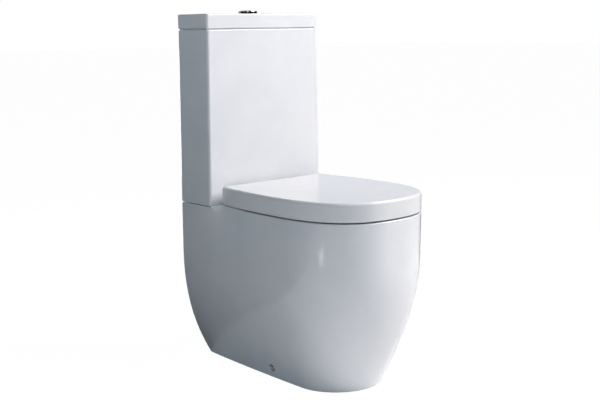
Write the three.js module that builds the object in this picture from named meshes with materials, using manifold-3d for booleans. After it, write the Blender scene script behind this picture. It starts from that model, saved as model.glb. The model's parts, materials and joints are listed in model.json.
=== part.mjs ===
// A close coupled toilet that stands back to the wall: a shrouded pan with its bowl and trap,
// a slim cistern with its flush and fill valves, and a wrap-over seat and lid.
// Millimetres, +Z up, +X to the right of a person facing it, -Y towards that person.
// The origin is on the floor, half way between the wall face and the front tip of the lid.
import * as THREE from 'three';
import { mergeVertices } from 'three/addons/utils/BufferGeometryUtils.js';
import Module from 'manifold-3d';

const wasm = await Module();
wasm.setup();

// ---------- driving dimensions ----------

const GAP = 0.3;                // running gap left between pieces that touch
const DEPTH = 576;              // wall face to the front tip
const WALL_Y = DEPTH / 2;
const FRONT_Y = -DEPTH / 2;

// pan
const PAN_TOP = 415.5;            // rim and seat deck
const SHELF_Z = 411.5;            // sunk shelf that carries the cistern
const SHELF_CLEARANCE = 1.2;      // from the step of the shelf to the cistern's front
const PAN_WALL = 14;
const DECK_THICKNESS = 16;
const PAN_EDGE_RADIUS = 3;
const PAN_REAR_HALF = 181.8;
const PAN_REAR_HALF_FLOOR = 101.2;
const PAN_REAR_FLARE_HEIGHT = 295;
const PAN_REAR_FLARE_POWER = 2.25;
const PAN_REAR_RADIUS = 8;
const PAN_MID_HALF = 176;
const PAN_MID_HALF_FLOOR = 115;
const PAN_FLARE_HEIGHT = 300;
const PAN_MID_Y = -57;
const PAN_MID_Y_FLOOR = -87;
const PAN_FRONT_Y_FLOOR = -197.5;
const PAN_FRONT_POWER = 2.6;
const PAN_FRONT_POWER_FLOOR = 1.95;
const SHOULDER_START_Z = 300;     // foot of the shoulder that carries the cistern
const SHOULDER_FRONT_Y = 40;
const SHOULDER_FAN = 0.6;

// bowl, trap and flushway
const RIM = { half: 127, centreY: -75, front: 168, rear: 159 };
const SUMP = { half: 42, centreY: 5, front: 50, rear: 45 };
const BOWL_DEPTH = 295;
const BOWL_CURVE = 1.8;
const BOWL_POWER = 2.3;
const BOWL_WALL = 12;
const RIM_LIP = 6;
const TRAP_RADIUS = 30;
const TRAP_WALL = 9;
const TRAP = {
  startY: -8, sumpZ: 150, riseRadius: 50, riseY: 108, weirZ: 271, weirRadius: 41, fallRadius: 40,
};
const OUTLET_Z = 190;
const OUTLET_END_Y = 262;
const OUTLET_START_Y = 224;
const SPIGOT_RADIUS = 51;
const FLUSHWAY = { half: 46, frontY: 60, rearY: 275, bottom: 360, wall: 12 };
const FLUSH_HOLE_RADIUS = 44;

// cistern
const TANK_DEPTH = 123;
const TANK_FRONT_Y = WALL_Y - TANK_DEPTH;
const TANK_BOTTOM = 413.5;
const TANK_TOP = 839;
const TANK_HALF_BOTTOM = 182.2;
const TANK_HALF_TOP = 176;
const TANK_WALL = 10;
const TANK_FLOOR = TANK_BOTTOM + 12;
const TANK_FRONT_RADIUS = 5;
const TANK_REAR_RADIUS = 9;
const COVER_BOTTOM = 842;
const COVER_TOP = 877;
const COVER_HALF = 176.8;
const COVER_THICKNESS = 9;
const VALVE_Y = WALL_Y - 60;       // middle of the valves and of the push button

// seat and lid
const LID_BOTTOM = 418.4;
const LID_TOP = 463;
const LID_REAR_Y = 147;
const LID_REAR_HALF = 159.5;
const LID_REAR_RADIUS = 5.5;
const LID_SKIN = 5;
const LID_EDGE_RADIUS = 3.5;
const LID_REAR_LIP_Z = 438;
const SEAT_INSET = 8;
const SEAT_BOTTOM = 420.8;
const SEAT_TOP = 445;
const SEAT_REAR_Y = 116;
const SEAT_HOLE = { half: 108, centreY: -78, front: 134, rear: 133 };
const HINGE_Y = 135;
const HINGE_Z = 448;
const HINGE_X = 77.5;
const PIN_RADIUS = 4;
const BORE_RADIUS = 4.3;
const EAR_RADIUS = 8;
const POST_HALF_WIDTH = 9;
const EAR_NEAR = POST_HALF_WIDTH + 1.5;   // ears stand this far either side of the post's middle
const EAR_FAR = EAR_NEAR + 10.5;
const POST_HALF_DEPTH = 8.5;
const POST_FOOT_RADIUS = 14;
const DAMPER_RADIUS = 6.4;
const DAMPER_LENGTH = 24;

// push buttons in the cover
const BUTTON_TOP = 885.5;
const BEZEL_TOP = 884;
const BEZEL_RADIUS = 23.5;
const BEZEL_BORE = 17.3;
const BEZEL_BARREL = 19.3;
const BEZEL_FLOOR = 850.5;
const BUTTON_RADIUS = 17;
const BUTTON_BOTTOM = 874;
const BUTTON_SPLIT_X = 4;
const FULL_ROD_X = -6;
const HALF_ROD_X = 10.5;
const ROD_RADIUS = 2.5;
const ROD_END_Z = 742;

// fastenings
const COUPLING_X = 75;
const FIXING_X = 68;
const FIXING_Y = 13;
const FIXING_Z = 28;
const CAP_X = 115.3;
const BOLT_RADIUS = 4;
const BOLT_HEAD_RADIUS = 10;
const COUPLING_BOLT_END = 366;
const SCREW_RADIUS = 3;
const CAP_RADIUS = 9.2;
const CAP_DOME_RADIUS = 6.5;
const CAP_HEIGHT = 9.5;
const CAP_CLEARANCE = 0.5;
const SEAT_BOLT_TOP = 18;       // above the pan's deck, inside the hinge post
const WING_NUT_HEIGHT = 11;

// flush valve, on the cistern's middle
const TAIL_RADIUS = 29;
const TAIL_BORE = 25;
const TAIL_END = 396;
const FLANGE_RADIUS = 39;
const BACKNUT_BOTTOM = 402;
const SEAL_THICKNESS = 3;
const FLANGE_BOTTOM = TANK_FLOOR + SEAL_THICKNESS + 2 * GAP;
const VALVE_SEAT_Z = 441;
const TOWER_FOOT_RADIUS = 34;
const TOWER_RADIUS = 28;
const TOWER_WALL = 3.5;
const TOWER_NECK_Z = 480;
const TOWER_HEAD_Z = 706;
const TOWER_TOP = 727;
const CORE_TOP = 670;
const CORE_BORE = 9;
const CORE_HUB_RADIUS = 12.5;

// fill valve, to the right of the flush valve
const FILL_X = 128;
const FILL_TAIL_RADIUS = 10.3;
const FILL_TAIL_BORE = 6;
const FILL_TAIL_END = 366;
const FILL_FLANGE_RADIUS = 18;
const RISER_RADIUS = 9;
const HEAD_RADIUS = 19;
const HEAD_BOTTOM = 700;
const HEAD_TOP = 735;
const FLOAT_BOTTOM = 560;
const FLOAT_TOP = 640;
const FLOAT_RADIUS = 24.5;
const FLOAT_WALL = 2.5;
const LEVER_REACH = 34;
const LEVER_Z = 743;

// facet counts
const SMALL_FACETS = 16;
const LARGE_FACETS = 24;

// ---------- finishes ----------

const FINISHES = {
  glazed_ceramic: { color: 0xe9ebee, roughness: 0.1, metalness: 0 },
  seat_plastic: { color: 0xeceef0, roughness: 0.16, metalness: 0 },
  chrome: { color: 0xc8ccd0, roughness: 0.08, metalness: 1 },
  steel: { color: 0xa9acb0, roughness: 0.35, metalness: 1 },
  rubber: { color: 0x26272a, roughness: 0.85, metalness: 0 },
  buffer_rubber: { color: 0xd9dbdc, roughness: 0.7, metalness: 0 },
  white_plastic: { color: 0xe2e3e2, roughness: 0.45, metalness: 0 },
  grey_plastic: { color: 0x8b9096, roughness: 0.5, metalness: 0 },
  blue_plastic: { color: 0x2f6fa8, roughness: 0.45, metalness: 0 },
};

// ---------- helpers ----------

const lerp = THREE.MathUtils.lerp;
const smoothstep = THREE.MathUtils.smoothstep;

function spread(from, to, count) {
  return Array.from({ length: count }, (_, i) => lerp(from, to, i / (count - 1)));
}

function signedVolume(positions, triangles) {
  const a = new THREE.Vector3();
  const b = new THREE.Vector3();
  const c = new THREE.Vector3();
  let sum = 0;
  for (let i = 0; i < triangles.length; i += 3) {
    a.fromArray(positions, triangles[i] * 3);
    b.fromArray(positions, triangles[i + 1] * 3);
    c.fromArray(positions, triangles[i + 2] * 3);
    sum += a.dot(b.cross(c)) / 6;
  }
  return sum;
}

// Closed geometry to a solid, with faces turned outwards
function solid(geometry) {
  const bare = new THREE.BufferGeometry();
  bare.setAttribute('position', geometry.getAttribute('position').clone());
  bare.setIndex(geometry.getIndex() ? geometry.getIndex().clone() : null);
  const merged = mergeVertices(bare, 1e-4);
  const positions = merged.getAttribute('position').array;
  const index = merged.getIndex().array;
  const triangles = [];
  for (let i = 0; i < index.length; i += 3) {
    const [a, b, c] = [index[i], index[i + 1], index[i + 2]];
    if (a !== b && b !== c && c !== a) triangles.push(a, b, c);
  }
  if (signedVolume(positions, triangles) < 0) triangles.reverse();
  return new wasm.Manifold(new wasm.Mesh({
    numProp: 3,
    vertProperties: new Float32Array(positions),
    triVerts: new Uint32Array(triangles),
  }));
}

function geometryOf(body) {
  const mesh = body.getMesh();
  const geometry = new THREE.BufferGeometry();
  geometry.setAttribute('position', new THREE.BufferAttribute(mesh.vertProperties, 3));
  geometry.setIndex(new THREE.BufferAttribute(mesh.triVerts, 1));
  geometry.computeVertexNormals();
  return geometry;
}

function join(...bodies) {
  return bodies.reduce((sum, body) => sum.add(body));
}

function cut(body, ...tools) {
  return tools.reduce((rest, tool) => rest.subtract(tool), body);
}

function box([x0, x1], [y0, y1], [z0, z1]) {
  const geometry = new THREE.BoxGeometry(x1 - x0, y1 - y0, z1 - z0);
  geometry.translate((x0 + x1) / 2, (y0 + y1) / 2, (z0 + z1) / 2);
  return solid(geometry);
}

// Upright cylinder
function column(radius, [z0, z1], [x, y] = [0, 0], facets = SMALL_FACETS) {
  const geometry = new THREE.CylinderGeometry(radius, radius, z1 - z0, facets);
  geometry.rotateX(Math.PI / 2);
  geometry.translate(x, y, (z0 + z1) / 2);
  return solid(geometry);
}

// Cylinder lying along X
function axle(radius, [x0, x1], [y, z] = [0, 0], facets = SMALL_FACETS) {
  const geometry = new THREE.CylinderGeometry(radius, radius, x1 - x0, facets);
  geometry.rotateZ(Math.PI / 2);
  geometry.translate((x0 + x1) / 2, y, z);
  return solid(geometry);
}

// Body turned about the Z axis from [radius, height] corners
function turned(corners, facets = SMALL_FACETS) {
  const profile = corners.map(([radius, height]) => new THREE.Vector2(radius, height));
  const closesOnAxis = corners[0][0] === 0 && corners[corners.length - 1][0] === 0;
  if (!closesOnAxis) profile.push(profile[0].clone());
  const geometry = new THREE.LatheGeometry(profile, facets);
  geometry.rotateX(Math.PI / 2);
  return solid(geometry);
}

function tube(inner, outer, [z0, z1], facets = SMALL_FACETS) {
  return turned([[inner, z0], [outer, z0], [outer, z1], [inner, z1]], facets);
}

// Closed skin over rings of equal point count, stacked from bottom to top
function loft(rings) {
  const count = rings[0].length;
  const positions = rings.flat().flatMap((point) => [point.x, point.y, point.z]);
  const index = [];
  for (let level = 0; level < rings.length - 1; level += 1) {
    for (let i = 0; i < count; i += 1) {
      const next = (i + 1) % count;
      const low = level * count;
      const high = low + count;
      index.push(low + i, low + next, high + next, low + i, high + next, high + i);
    }
  }
  const lastLow = (rings.length - 1) * count;
  const flat = (ring) => ring.map((point) => new THREE.Vector2(point.x, point.y));
  for (const [a, b, c] of THREE.ShapeUtils.triangulateShape(flat(rings[0]), [])) {
    index.push(a, c, b);
  }
  for (const [a, b, c] of THREE.ShapeUtils.triangulateShape(flat(rings.at(-1)), [])) {
    index.push(lastLow + a, lastLow + b, lastLow + c);
  }
  const geometry = new THREE.BufferGeometry();
  geometry.setAttribute('position', new THREE.Float32BufferAttribute(positions, 3));
  geometry.setIndex(index);
  return solid(geometry);
}

// Moves an anticlockwise outline inwards by the same distance all round
function inset(outline, distance) {
  return outline.map((point, i) => {
    const before = outline.at(i - 1);
    const after = outline[(i + 1) % outline.length];
    const into = new THREE.Vector2().subVectors(point, before).normalize();
    const away = new THREE.Vector2().subVectors(after, point).normalize();
    const normal = new THREE.Vector2(-into.y - away.y, into.x + away.x).normalize();
    const mitre = Math.max(0.5, normal.x * -into.y + normal.y * into.x);
    return point.clone().addScaledVector(normal, distance / mitre);
  });
}

function atHeight(outline, z) {
  return outline.map((point) => new THREE.Vector3(point.x, point.y, z));
}

// Superellipse oval with its own reach to the front and to the rear
function oval({ half, centreY, front, rear }, power, count, extra = 0) {
  return Array.from({ length: count }, (_, i) => {
    const angle = (i / count) * 2 * Math.PI;
    const across = Math.cos(angle);
    const along = Math.sin(angle);
    const reach = along > 0 ? rear : front;
    const x = (half + extra) * Math.sign(across) * Math.abs(across) ** (2 / power);
    const y = centreY + (reach + extra) * Math.sign(along) * Math.abs(along) ** (2 / power);
    return new THREE.Vector2(x, y);
  });
}

// Symmetric plan outline: rounded rear corners, a side given by sideHalf(y), a superellipse front
function planOutline({ sideHalf, stations, rearY, rearRadius, midY, midHalf, frontY, power }) {
  const cornerX = sideHalf(rearY) - rearRadius;
  const cornerY = rearY - rearRadius;
  const corner = spread(Math.PI / 2, 0, 3).map((angle) => new THREE.Vector2(
    cornerX + rearRadius * Math.cos(angle),
    cornerY + rearRadius * Math.sin(angle),
  ));
  const side = stations.map((y) => new THREE.Vector2(sideHalf(y), y));
  const front = spread(0, Math.PI / 2, 11).map((angle) => new THREE.Vector2(
    midHalf * Math.cos(angle) ** (2 / power),
    midY - (midY - frontY) * Math.sin(angle) ** (2 / power),
  ));
  front[front.length - 1].x = 0;
  const right = [...corner, ...side, ...front];
  const left = right.slice(0, -1).map((point) => new THREE.Vector2(-point.x, point.y));
  return [...left, ...right.reverse()];
}

function easedSide(y, rearY, rearHalf, midY, midHalf) {
  const share = THREE.MathUtils.clamp((rearY - y) / (rearY - midY), 0, 1);
  return rearHalf + (midHalf - rearHalf) * (1 - (1 - share) ** 2);
}

// ---------- pan ----------

function flared(z, top, floor) {
  const rise = Math.min(1, Math.max(0, z) / PAN_FLARE_HEIGHT);
  return top - (top - floor) * (1 - Math.sin(rise * Math.PI / 2));
}

function panRearHalf(z) {
  const rise = Math.min(1, Math.max(0, z) / PAN_REAR_FLARE_HEIGHT);
  const flare = PAN_REAR_HALF - PAN_REAR_HALF_FLOOR;
  return PAN_REAR_HALF - flare * (1 - rise) ** PAN_REAR_FLARE_POWER;
}

function lidHalf(y) {
  return easedSide(y, LID_REAR_Y, LID_REAR_HALF, PAN_MID_Y, PAN_MID_HALF);
}

// The top edge is full width under the cistern and steps in to follow the lid.
// Lower down that step fans out along the side until it is gone.
function panSideHalf(y, z, midY, midHalf) {
  const edgeZ = PAN_TOP - PAN_EDGE_RADIUS;
  const rearHalf = panRearHalf(z);
  const plain = easedSide(y, WALL_Y, rearHalf, midY, midHalf);
  const depth = THREE.MathUtils.clamp((edgeZ - z) / (edgeZ - SHOULDER_START_Z), 0, 1);
  const fan = depth ** SHOULDER_FAN;
  const stepFront = lerp(LID_REAR_Y - LID_REAR_RADIUS, SHOULDER_FRONT_Y, fan);
  const stepRear = lerp(TANK_FRONT_Y, WALL_Y, fan);
  const stepped = lerp(lidHalf(y), rearHalf, smoothstep(y, stepFront, stepRear));
  return lerp(plain, stepped, smoothstep(z, SHOULDER_START_Z, edgeZ));
}

function panOutline(z, rearY = WALL_Y) {
  const height = Math.min(1, Math.max(0, z) / PAN_TOP);
  const midY = lerp(PAN_MID_Y_FLOOR, PAN_MID_Y, height);
  const midHalf = flared(z, PAN_MID_HALF, PAN_MID_HALF_FLOOR);
  return planOutline({
    sideHalf: (y) => panSideHalf(y, z, midY, midHalf),
    stations: [
      VALVE_Y,
      ...spread(TANK_FRONT_Y, LID_REAR_Y - LID_REAR_RADIUS, 3),
      ...spread(LID_REAR_Y - 35, midY + 40, 4),
    ],
    rearY,
    rearRadius: rearY > WALL_Y ? PAN_WALL + 2 : PAN_REAR_RADIUS * Math.max(0.1, height),
    midY,
    midHalf,
    frontY: flared(z, FRONT_Y, PAN_FRONT_Y_FLOOR),
    power: lerp(PAN_FRONT_POWER_FLOOR, PAN_FRONT_POWER, height),
  });
}

function panSkin() {
  const edgeZ = PAN_TOP - PAN_EDGE_RADIUS;
  const levels = [0, 32, 66, 104, 146, 192, 244, 300, 345, 380, edgeZ];
  const walls = levels.map((z) => atHeight(panOutline(z), z));
  const edge = [Math.PI / 4, Math.PI / 2].map((angle) => {
    const inwards = PAN_EDGE_RADIUS * (1 - Math.cos(angle));
    const z = edgeZ + PAN_EDGE_RADIUS * Math.sin(angle);
    return atHeight(inset(panOutline(edgeZ), inwards), z);
  });
  return loft([...walls, ...edge]);
}

function panHollow() {
  const below = -5;
  const beyondWall = WALL_Y + PAN_WALL + 6;
  const levels = [below, 66, 146, 244, 330, PAN_TOP - DECK_THICKNESS];
  return loft(levels.map((z) => atHeight(inset(panOutline(z, beyondWall), PAN_WALL), z)));
}

function bowlRing(depthShare, extra) {
  const share = depthShare ** BOWL_CURVE;
  const shape = {};
  for (const key of Object.keys(RIM)) shape[key] = lerp(RIM[key], SUMP[key], share);
  return oval(shape, BOWL_POWER, 24, extra);
}

function bowl(extra, firstShare) {
  const shares = [firstShare, 0.24, 0.43, 0.6, 0.75, 0.9];
  const rings = shares.map((share) => atHeight(bowlRing(share, extra), PAN_TOP - share * BOWL_DEPTH));
  const bottom = inset(bowlRing(1, extra), 12);
  rings.push(atHeight(bottom, PAN_TOP - BOWL_DEPTH - extra));
  return loft(rings.reverse());
}

// Centre line of the trap in the plane x = 0, from the sump over the weir to the outlet
function trapLine(endY) {
  const { startY, sumpZ, riseRadius, riseY, weirZ, weirRadius, fallRadius } = TRAP;
  const arcZ = weirZ - weirRadius;
  const fallY = riseY + 2 * weirRadius;
  const line = new THREE.Path();
  line.moveTo(startY, sumpZ);
  line.lineTo(riseY - riseRadius, sumpZ);
  line.absarc(riseY - riseRadius, sumpZ + riseRadius, riseRadius, -Math.PI / 2, 0, false);
  line.lineTo(riseY, arcZ);
  line.absarc(riseY + weirRadius, arcZ, weirRadius, Math.PI, 0, true);
  line.absarc(fallY + fallRadius, OUTLET_Z + fallRadius, fallRadius, Math.PI, 1.5 * Math.PI, false);
  line.lineTo(endY, OUTLET_Z);
  const points = line.getSpacedPoints(28).map((point) => new THREE.Vector3(0, point.x, point.y));
  return new THREE.CatmullRomCurve3(points);
}

function trap(radius, endY) {
  const section = new THREE.Shape().absarc(0, 0, radius, 0, 2 * Math.PI);
  return solid(new THREE.ExtrudeGeometry(section, {
    extrudePath: trapLine(endY),
    steps: 17,
    curveSegments: 6,
  }));
}

function flushwayBox(extra, top) {
  return box(
    [-FLUSHWAY.half - extra, FLUSHWAY.half + extra],
    [FLUSHWAY.frontY + extra, FLUSHWAY.rearY + extra],
    [FLUSHWAY.bottom - extra, top],
  );
}

function outletPipe(radius, [y0, y1]) {
  const geometry = new THREE.CylinderGeometry(radius, radius, y1 - y0, LARGE_FACETS);
  geometry.translate(0, (y0 + y1) / 2, OUTLET_Z);
  return solid(geometry);
}

function pan() {
  const deckUnderside = PAN_TOP - DECK_THICKNESS;
  const throughDeck = [deckUnderside - 10, PAN_TOP + 10];
  const shell = cut(panSkin(), panHollow());
  const works = join(
    bowl(BOWL_WALL, 0.03),
    trap(TRAP_RADIUS + TRAP_WALL, OUTLET_END_Y - 8),
    outletPipe(SPIGOT_RADIUS, [OUTLET_START_Y, OUTLET_END_Y]),
    flushwayBox(FLUSHWAY.wall, deckUnderside + 2),
  );
  const rimMouth = loft([-20, 20].map((z) => atHeight(inset(bowlRing(0, 0), RIM_LIP), PAN_TOP + z)));
  const holes = [-1, 1].flatMap((side) => [
    column(6, throughDeck, [side * COUPLING_X, VALVE_Y]),
    column(7, throughDeck, [side * HINGE_X, HINGE_Y]),
    axle(CAP_RADIUS + CAP_CLEARANCE, side < 0 ? [-150, -95] : [95, 150], [FIXING_Y, FIXING_Z]),
  ]);
  const shelfFront = TANK_FRONT_Y - SHELF_CLEARANCE;
  const aboveShelf = box([-200, 200], [shelfFront, WALL_Y + 10], [SHELF_Z, PAN_TOP + 10]);
  return cut(
    join(shell, works),
    aboveShelf,
    bowl(0, 0.055),
    rimMouth,
    trap(TRAP_RADIUS, OUTLET_END_Y + 6),
    flushwayBox(0, deckUnderside + 2),
    column(FLUSH_HOLE_RADIUS, throughDeck, [0, VALVE_Y], LARGE_FACETS),
    column(18, throughDeck, [FILL_X, VALVE_Y]),
    ...holes,
  );
}

// ---------- cistern ----------

function cisternOutline(half, shrink) {
  const shape = [];
  const corners = [
    [half, WALL_Y, TANK_REAR_RADIUS, 0],
    [-half, WALL_Y, TANK_REAR_RADIUS, 1],
    [-half, TANK_FRONT_Y, TANK_FRONT_RADIUS, 2],
    [half, TANK_FRONT_Y, TANK_FRONT_RADIUS, 3],
  ];
  for (const [x, y, fullRadius, quarter] of corners) {
    const radius = Math.max(1.5, fullRadius - shrink);
    const centreX = x - Math.sign(x) * (shrink + radius);
    const centreY = y + (y > VALVE_Y ? -1 : 1) * (shrink + radius);
    for (const step of spread(0, 1, 4)) {
      const angle = (quarter + step) * Math.PI / 2;
      const [across, along] = [radius * Math.cos(angle), radius * Math.sin(angle)];
      shape.push(new THREE.Vector2(centreX + across, centreY + along));
    }
  }
  return shape;
}

function tankRing(z, shrink) {
  const rise = (z - TANK_BOTTOM) / (TANK_TOP - TANK_BOTTOM);
  return atHeight(cisternOutline(lerp(TANK_HALF_BOTTOM, TANK_HALF_TOP, rise), shrink), z);
}

function cisternTank() {
  const outside = loft([
    tankRing(TANK_BOTTOM, 2.5),
    tankRing(TANK_BOTTOM + 1, 0.6),
    tankRing(TANK_BOTTOM + 3, 0),
    tankRing(TANK_TOP - 2, 0),
    tankRing(TANK_TOP, 1.5),
  ]);
  const inside = loft([tankRing(TANK_FLOOR, TANK_WALL), tankRing(TANK_TOP + 5, TANK_WALL)]);
  const throughFloor = [TANK_BOTTOM - 5, TANK_FLOOR + 5];
  return cut(
    outside,
    inside,
    column(TAIL_RADIUS + 1.5, throughFloor, [0, VALVE_Y], LARGE_FACETS),
    column(11.5, throughFloor, [FILL_X, VALVE_Y]),
    column(6, throughFloor, [-COUPLING_X, VALVE_Y]),
    column(6, throughFloor, [COUPLING_X, VALVE_Y]),
  );
}

function cisternCover() {
  const ring = (z, shrink) => atHeight(cisternOutline(COVER_HALF, shrink), z);
  const supportInset = 4;
  const lipInset = TANK_WALL + 2;
  const lipThickness = 5;
  const lipDepth = 12;
  const outside = loft([
    ring(COVER_BOTTOM, 0.8),
    ring(COVER_BOTTOM + 0.8, 0),
    ring(COVER_TOP - 4, 0),
    ring(COVER_TOP - 1.2, 1.2),
    ring(COVER_TOP, 4),
  ]);
  const support = loft([ring(TANK_TOP + GAP, supportInset), ring(COVER_BOTTOM + 2, supportInset)]);
  const lip = loft([ring(TANK_TOP - lipDepth, lipInset), ring(COVER_BOTTOM + 2, lipInset)]);
  const hollow = loft([
    ring(TANK_TOP - lipDepth - 5, lipInset + lipThickness),
    ring(COVER_TOP - COVER_THICKNESS, lipInset + lipThickness),
  ]);
  const through = [COVER_BOTTOM, COVER_TOP + 5];
  const buttonHole = column(BEZEL_BARREL + 0.7, through, [0, VALVE_Y], LARGE_FACETS);
  return cut(join(outside, support, lip), hollow, buttonHole);
}

// ---------- seat and lid ----------

function lidOutline() {
  return planOutline({
    sideHalf: lidHalf,
    stations: spread(LID_REAR_Y - 35, PAN_MID_Y + 40, 4),
    rearY: LID_REAR_Y,
    rearRadius: LID_REAR_RADIUS,
    midY: PAN_MID_Y,
    midHalf: PAN_MID_HALF,
    frontY: FRONT_Y,
    power: PAN_FRONT_POWER,
  });
}

// The stretch of X between two distances from the middle, on the side given by -1 or 1
function sideSpan(side, near, far) {
  return side < 0 ? [-far, -near] : [near, far];
}

function toiletLid() {
  const outline = lidOutline();
  const edgeZ = LID_TOP - LID_EDGE_RADIUS;
  const outside = loft([
    atHeight(inset(outline, 0.8), LID_BOTTOM),
    atHeight(outline, LID_BOTTOM + 0.8),
    atHeight(outline, edgeZ),
    atHeight(inset(outline, 1), edgeZ + 2.5),
    atHeight(inset(outline, LID_EDGE_RADIUS), LID_TOP),
  ]);
  const innerTop = LID_TOP - LID_SKIN;
  const inner = inset(outline, LID_SKIN);
  const hollow = loft([atHeight(inner, LID_BOTTOM - 5), atHeight(inner, innerTop)]);
  const innerRearY = LID_REAR_Y - LID_SKIN;
  const behind = [innerRearY - 1, LID_REAR_Y + 5];
  const reliefHalf = LID_REAR_HALF - LID_SKIN;
  const rearRelief = box([-reliefHalf, reliefHalf], behind, [LID_BOTTOM - 5, LID_REAR_LIP_Z]);
  const ears = [];
  const notches = [];
  for (const side of [-1, 1]) {
    const earSpan = sideSpan(side, HINGE_X + EAR_NEAR, HINGE_X + EAR_FAR);
    ears.push(join(
      axle(EAR_RADIUS, earSpan, [HINGE_Y, HINGE_Z]),
      box(earSpan, [HINGE_Y - EAR_RADIUS, HINGE_Y + EAR_RADIUS], [HINGE_Z, innerTop + 1]),
    ));
    notches.push(box(sideSpan(side, HINGE_X - 50, HINGE_X + 50), behind, [LID_BOTTOM - 5, innerTop]));
    notches.push(axle(BORE_RADIUS, sideSpan(side, HINGE_X, HINGE_X + 40), [HINGE_Y, HINGE_Z]));
  }
  return cut(join(cut(outside, hollow), ...ears), rearRelief, ...notches);
}

// The point of the seat's oval hole that lies towards the given outer point
function onSeatHole(outer) {
  const dx = outer.x;
  const dy = outer.y - SEAT_HOLE.centreY;
  const reach = dy > 0 ? SEAT_HOLE.rear : SEAT_HOLE.front;
  const across = Math.abs(dx / SEAT_HOLE.half) ** BOWL_POWER;
  const along = Math.abs(dy / reach) ** BOWL_POWER;
  const size = (across + along) ** (1 / BOWL_POWER);
  return new THREE.Vector2(dx / size, SEAT_HOLE.centreY + dy / size);
}

// Ring whose section is swept between the outer outline and the oval hole
function seatLoop() {
  const outline = planOutline({
    sideHalf: (y) => lidHalf(y) - SEAT_INSET,
    stations: spread(SEAT_REAR_Y - 40, PAN_MID_Y + 35, 3),
    rearY: SEAT_REAR_Y,
    rearRadius: 24,
    midY: PAN_MID_Y,
    midHalf: PAN_MID_HALF - SEAT_INSET,
    frontY: FRONT_Y + SEAT_INSET,
    power: PAN_FRONT_POWER,
  });
  // share of the way from the outer edge to the hole, and height
  const section = [
    [0, SEAT_BOTTOM],
    [0, SEAT_TOP - 5],
    [0.05, SEAT_TOP - 1],
    [0.3, SEAT_TOP],
    [0.8, SEAT_TOP - 3],
    [1, SEAT_TOP - 11],
    [1, SEAT_BOTTOM],
  ];
  const count = section.length;
  const positions = [];
  for (const outer of outline) {
    const inner = onSeatHole(outer);
    for (const [share, z] of section) {
      positions.push(lerp(outer.x, inner.x, share), lerp(outer.y, inner.y, share), z);
    }
  }
  const index = [];
  for (let i = 0; i < outline.length; i += 1) {
    const here = i * count;
    const ahead = ((i + 1) % outline.length) * count;
    for (let j = 0; j < count; j += 1) {
      const next = (j + 1) % count;
      index.push(here + j, ahead + j, ahead + next, here + j, ahead + next, here + next);
    }
  }
  const geometry = new THREE.BufferGeometry();
  geometry.setAttribute('position', new THREE.Float32BufferAttribute(positions, 3));
  geometry.setIndex(index);
  return solid(geometry);
}

// Loop with an ear on the inner side of each hinge post
function seatRing() {
  const ears = [];
  const bores = [];
  for (const side of [-1, 1]) {
    const span = sideSpan(side, HINGE_X - EAR_FAR, HINGE_X - EAR_NEAR);
    ears.push(axle(EAR_RADIUS, span, [HINGE_Y, HINGE_Z]));
    ears.push(box(span, [SEAT_REAR_Y - 12, HINGE_Y], [SEAT_TOP - 16, HINGE_Z]));
    bores.push(axle(BORE_RADIUS, sideSpan(side, HINGE_X - 40, HINGE_X), [HINGE_Y, HINGE_Z]));
  }
  return cut(join(seatLoop(), ...ears), ...bores);
}

// Soft foot with a rounded tip, standing from z = 0 down to z = -height
function buffer(radius, height) {
  const edge = 1.5;
  return turned([
    [0, -height],
    [radius - edge, -height],
    [radius, edge - height],
    [radius, 0],
    [0, 0],
  ], 12);
}

// ---------- hinges ----------

// Post that stands on the pan, origin at its foot
function hingePost() {
  const pinZ = HINGE_Z - PAN_TOP;
  const across = [-POST_HALF_WIDTH, POST_HALF_WIDTH];
  const arch = join(
    axle(POST_HALF_DEPTH, across, [0, pinZ]),
    box(across, [-POST_HALF_DEPTH, POST_HALF_DEPTH], [2, pinZ]),
  );
  const footTop = 4;
  const base = turned([
    [0, GAP],
    [POST_FOOT_RADIUS, GAP],
    [POST_FOOT_RADIUS, footTop - 1],
    [POST_FOOT_RADIUS - 1.5, footTop],
    [0, footTop],
  ]);
  return cut(
    join(arch, base),
    axle(PIN_RADIUS + 0.1, [-POST_HALF_WIDTH - 2, POST_HALF_WIDTH + 2], [0, pinZ]),
    column(BOLT_RADIUS + GAP, [-2, SEAT_BOLT_TOP + GAP]),
  );
}

function hingePin() {
  const half = EAR_FAR + 0.5;
  return axle(PIN_RADIUS - 0.05, [-half, half]);
}

// Soft close cartridge that stands on the ear face at z = 0
function damperCartridge() {
  return turned([
    [0, 0],
    [DAMPER_RADIUS - 0.8, 0],
    [DAMPER_RADIUS, 2],
    [DAMPER_RADIUS, DAMPER_LENGTH - 4],
    [DAMPER_RADIUS - 1.4, DAMPER_LENGTH],
    [0, DAMPER_LENGTH],
  ], 12);
}

// Threaded rod, pointed at its lower end, from z0 up to z1
function stud(radius, [z0, z1]) {
  return turned([[0, z0], [radius - 0.8, z0], [radius, z0 + 0.8], [radius, z1], [0, z1]], 12);
}

// Threaded hub with two wings along Y, top face at z = 0
function wingNut() {
  const bore = BOLT_RADIUS + GAP;
  const hub = tube(bore, 8, [-WING_NUT_HEIGHT, 0], 12);
  const wings = [-1, 1].map((side) => {
    const shape = new THREE.Shape();
    shape.moveTo(side * (bore + 1), -10);
    shape.lineTo(side * 12, -14);
    shape.quadraticCurveTo(side * 21, -17, side * 20, -9);
    shape.lineTo(side * (bore + 1), -3);
    shape.closePath();
    const depth = 3;
    const geometry = new THREE.ExtrudeGeometry(shape, { depth, bevelEnabled: false, curveSegments: 3 });
    geometry.rotateX(Math.PI / 2);
    geometry.rotateZ(Math.PI / 2);
    geometry.translate(-depth / 2, 0, 0);
    return solid(geometry);
  });
  return join(hub, ...wings);
}

// ---------- fastenings ----------

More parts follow.
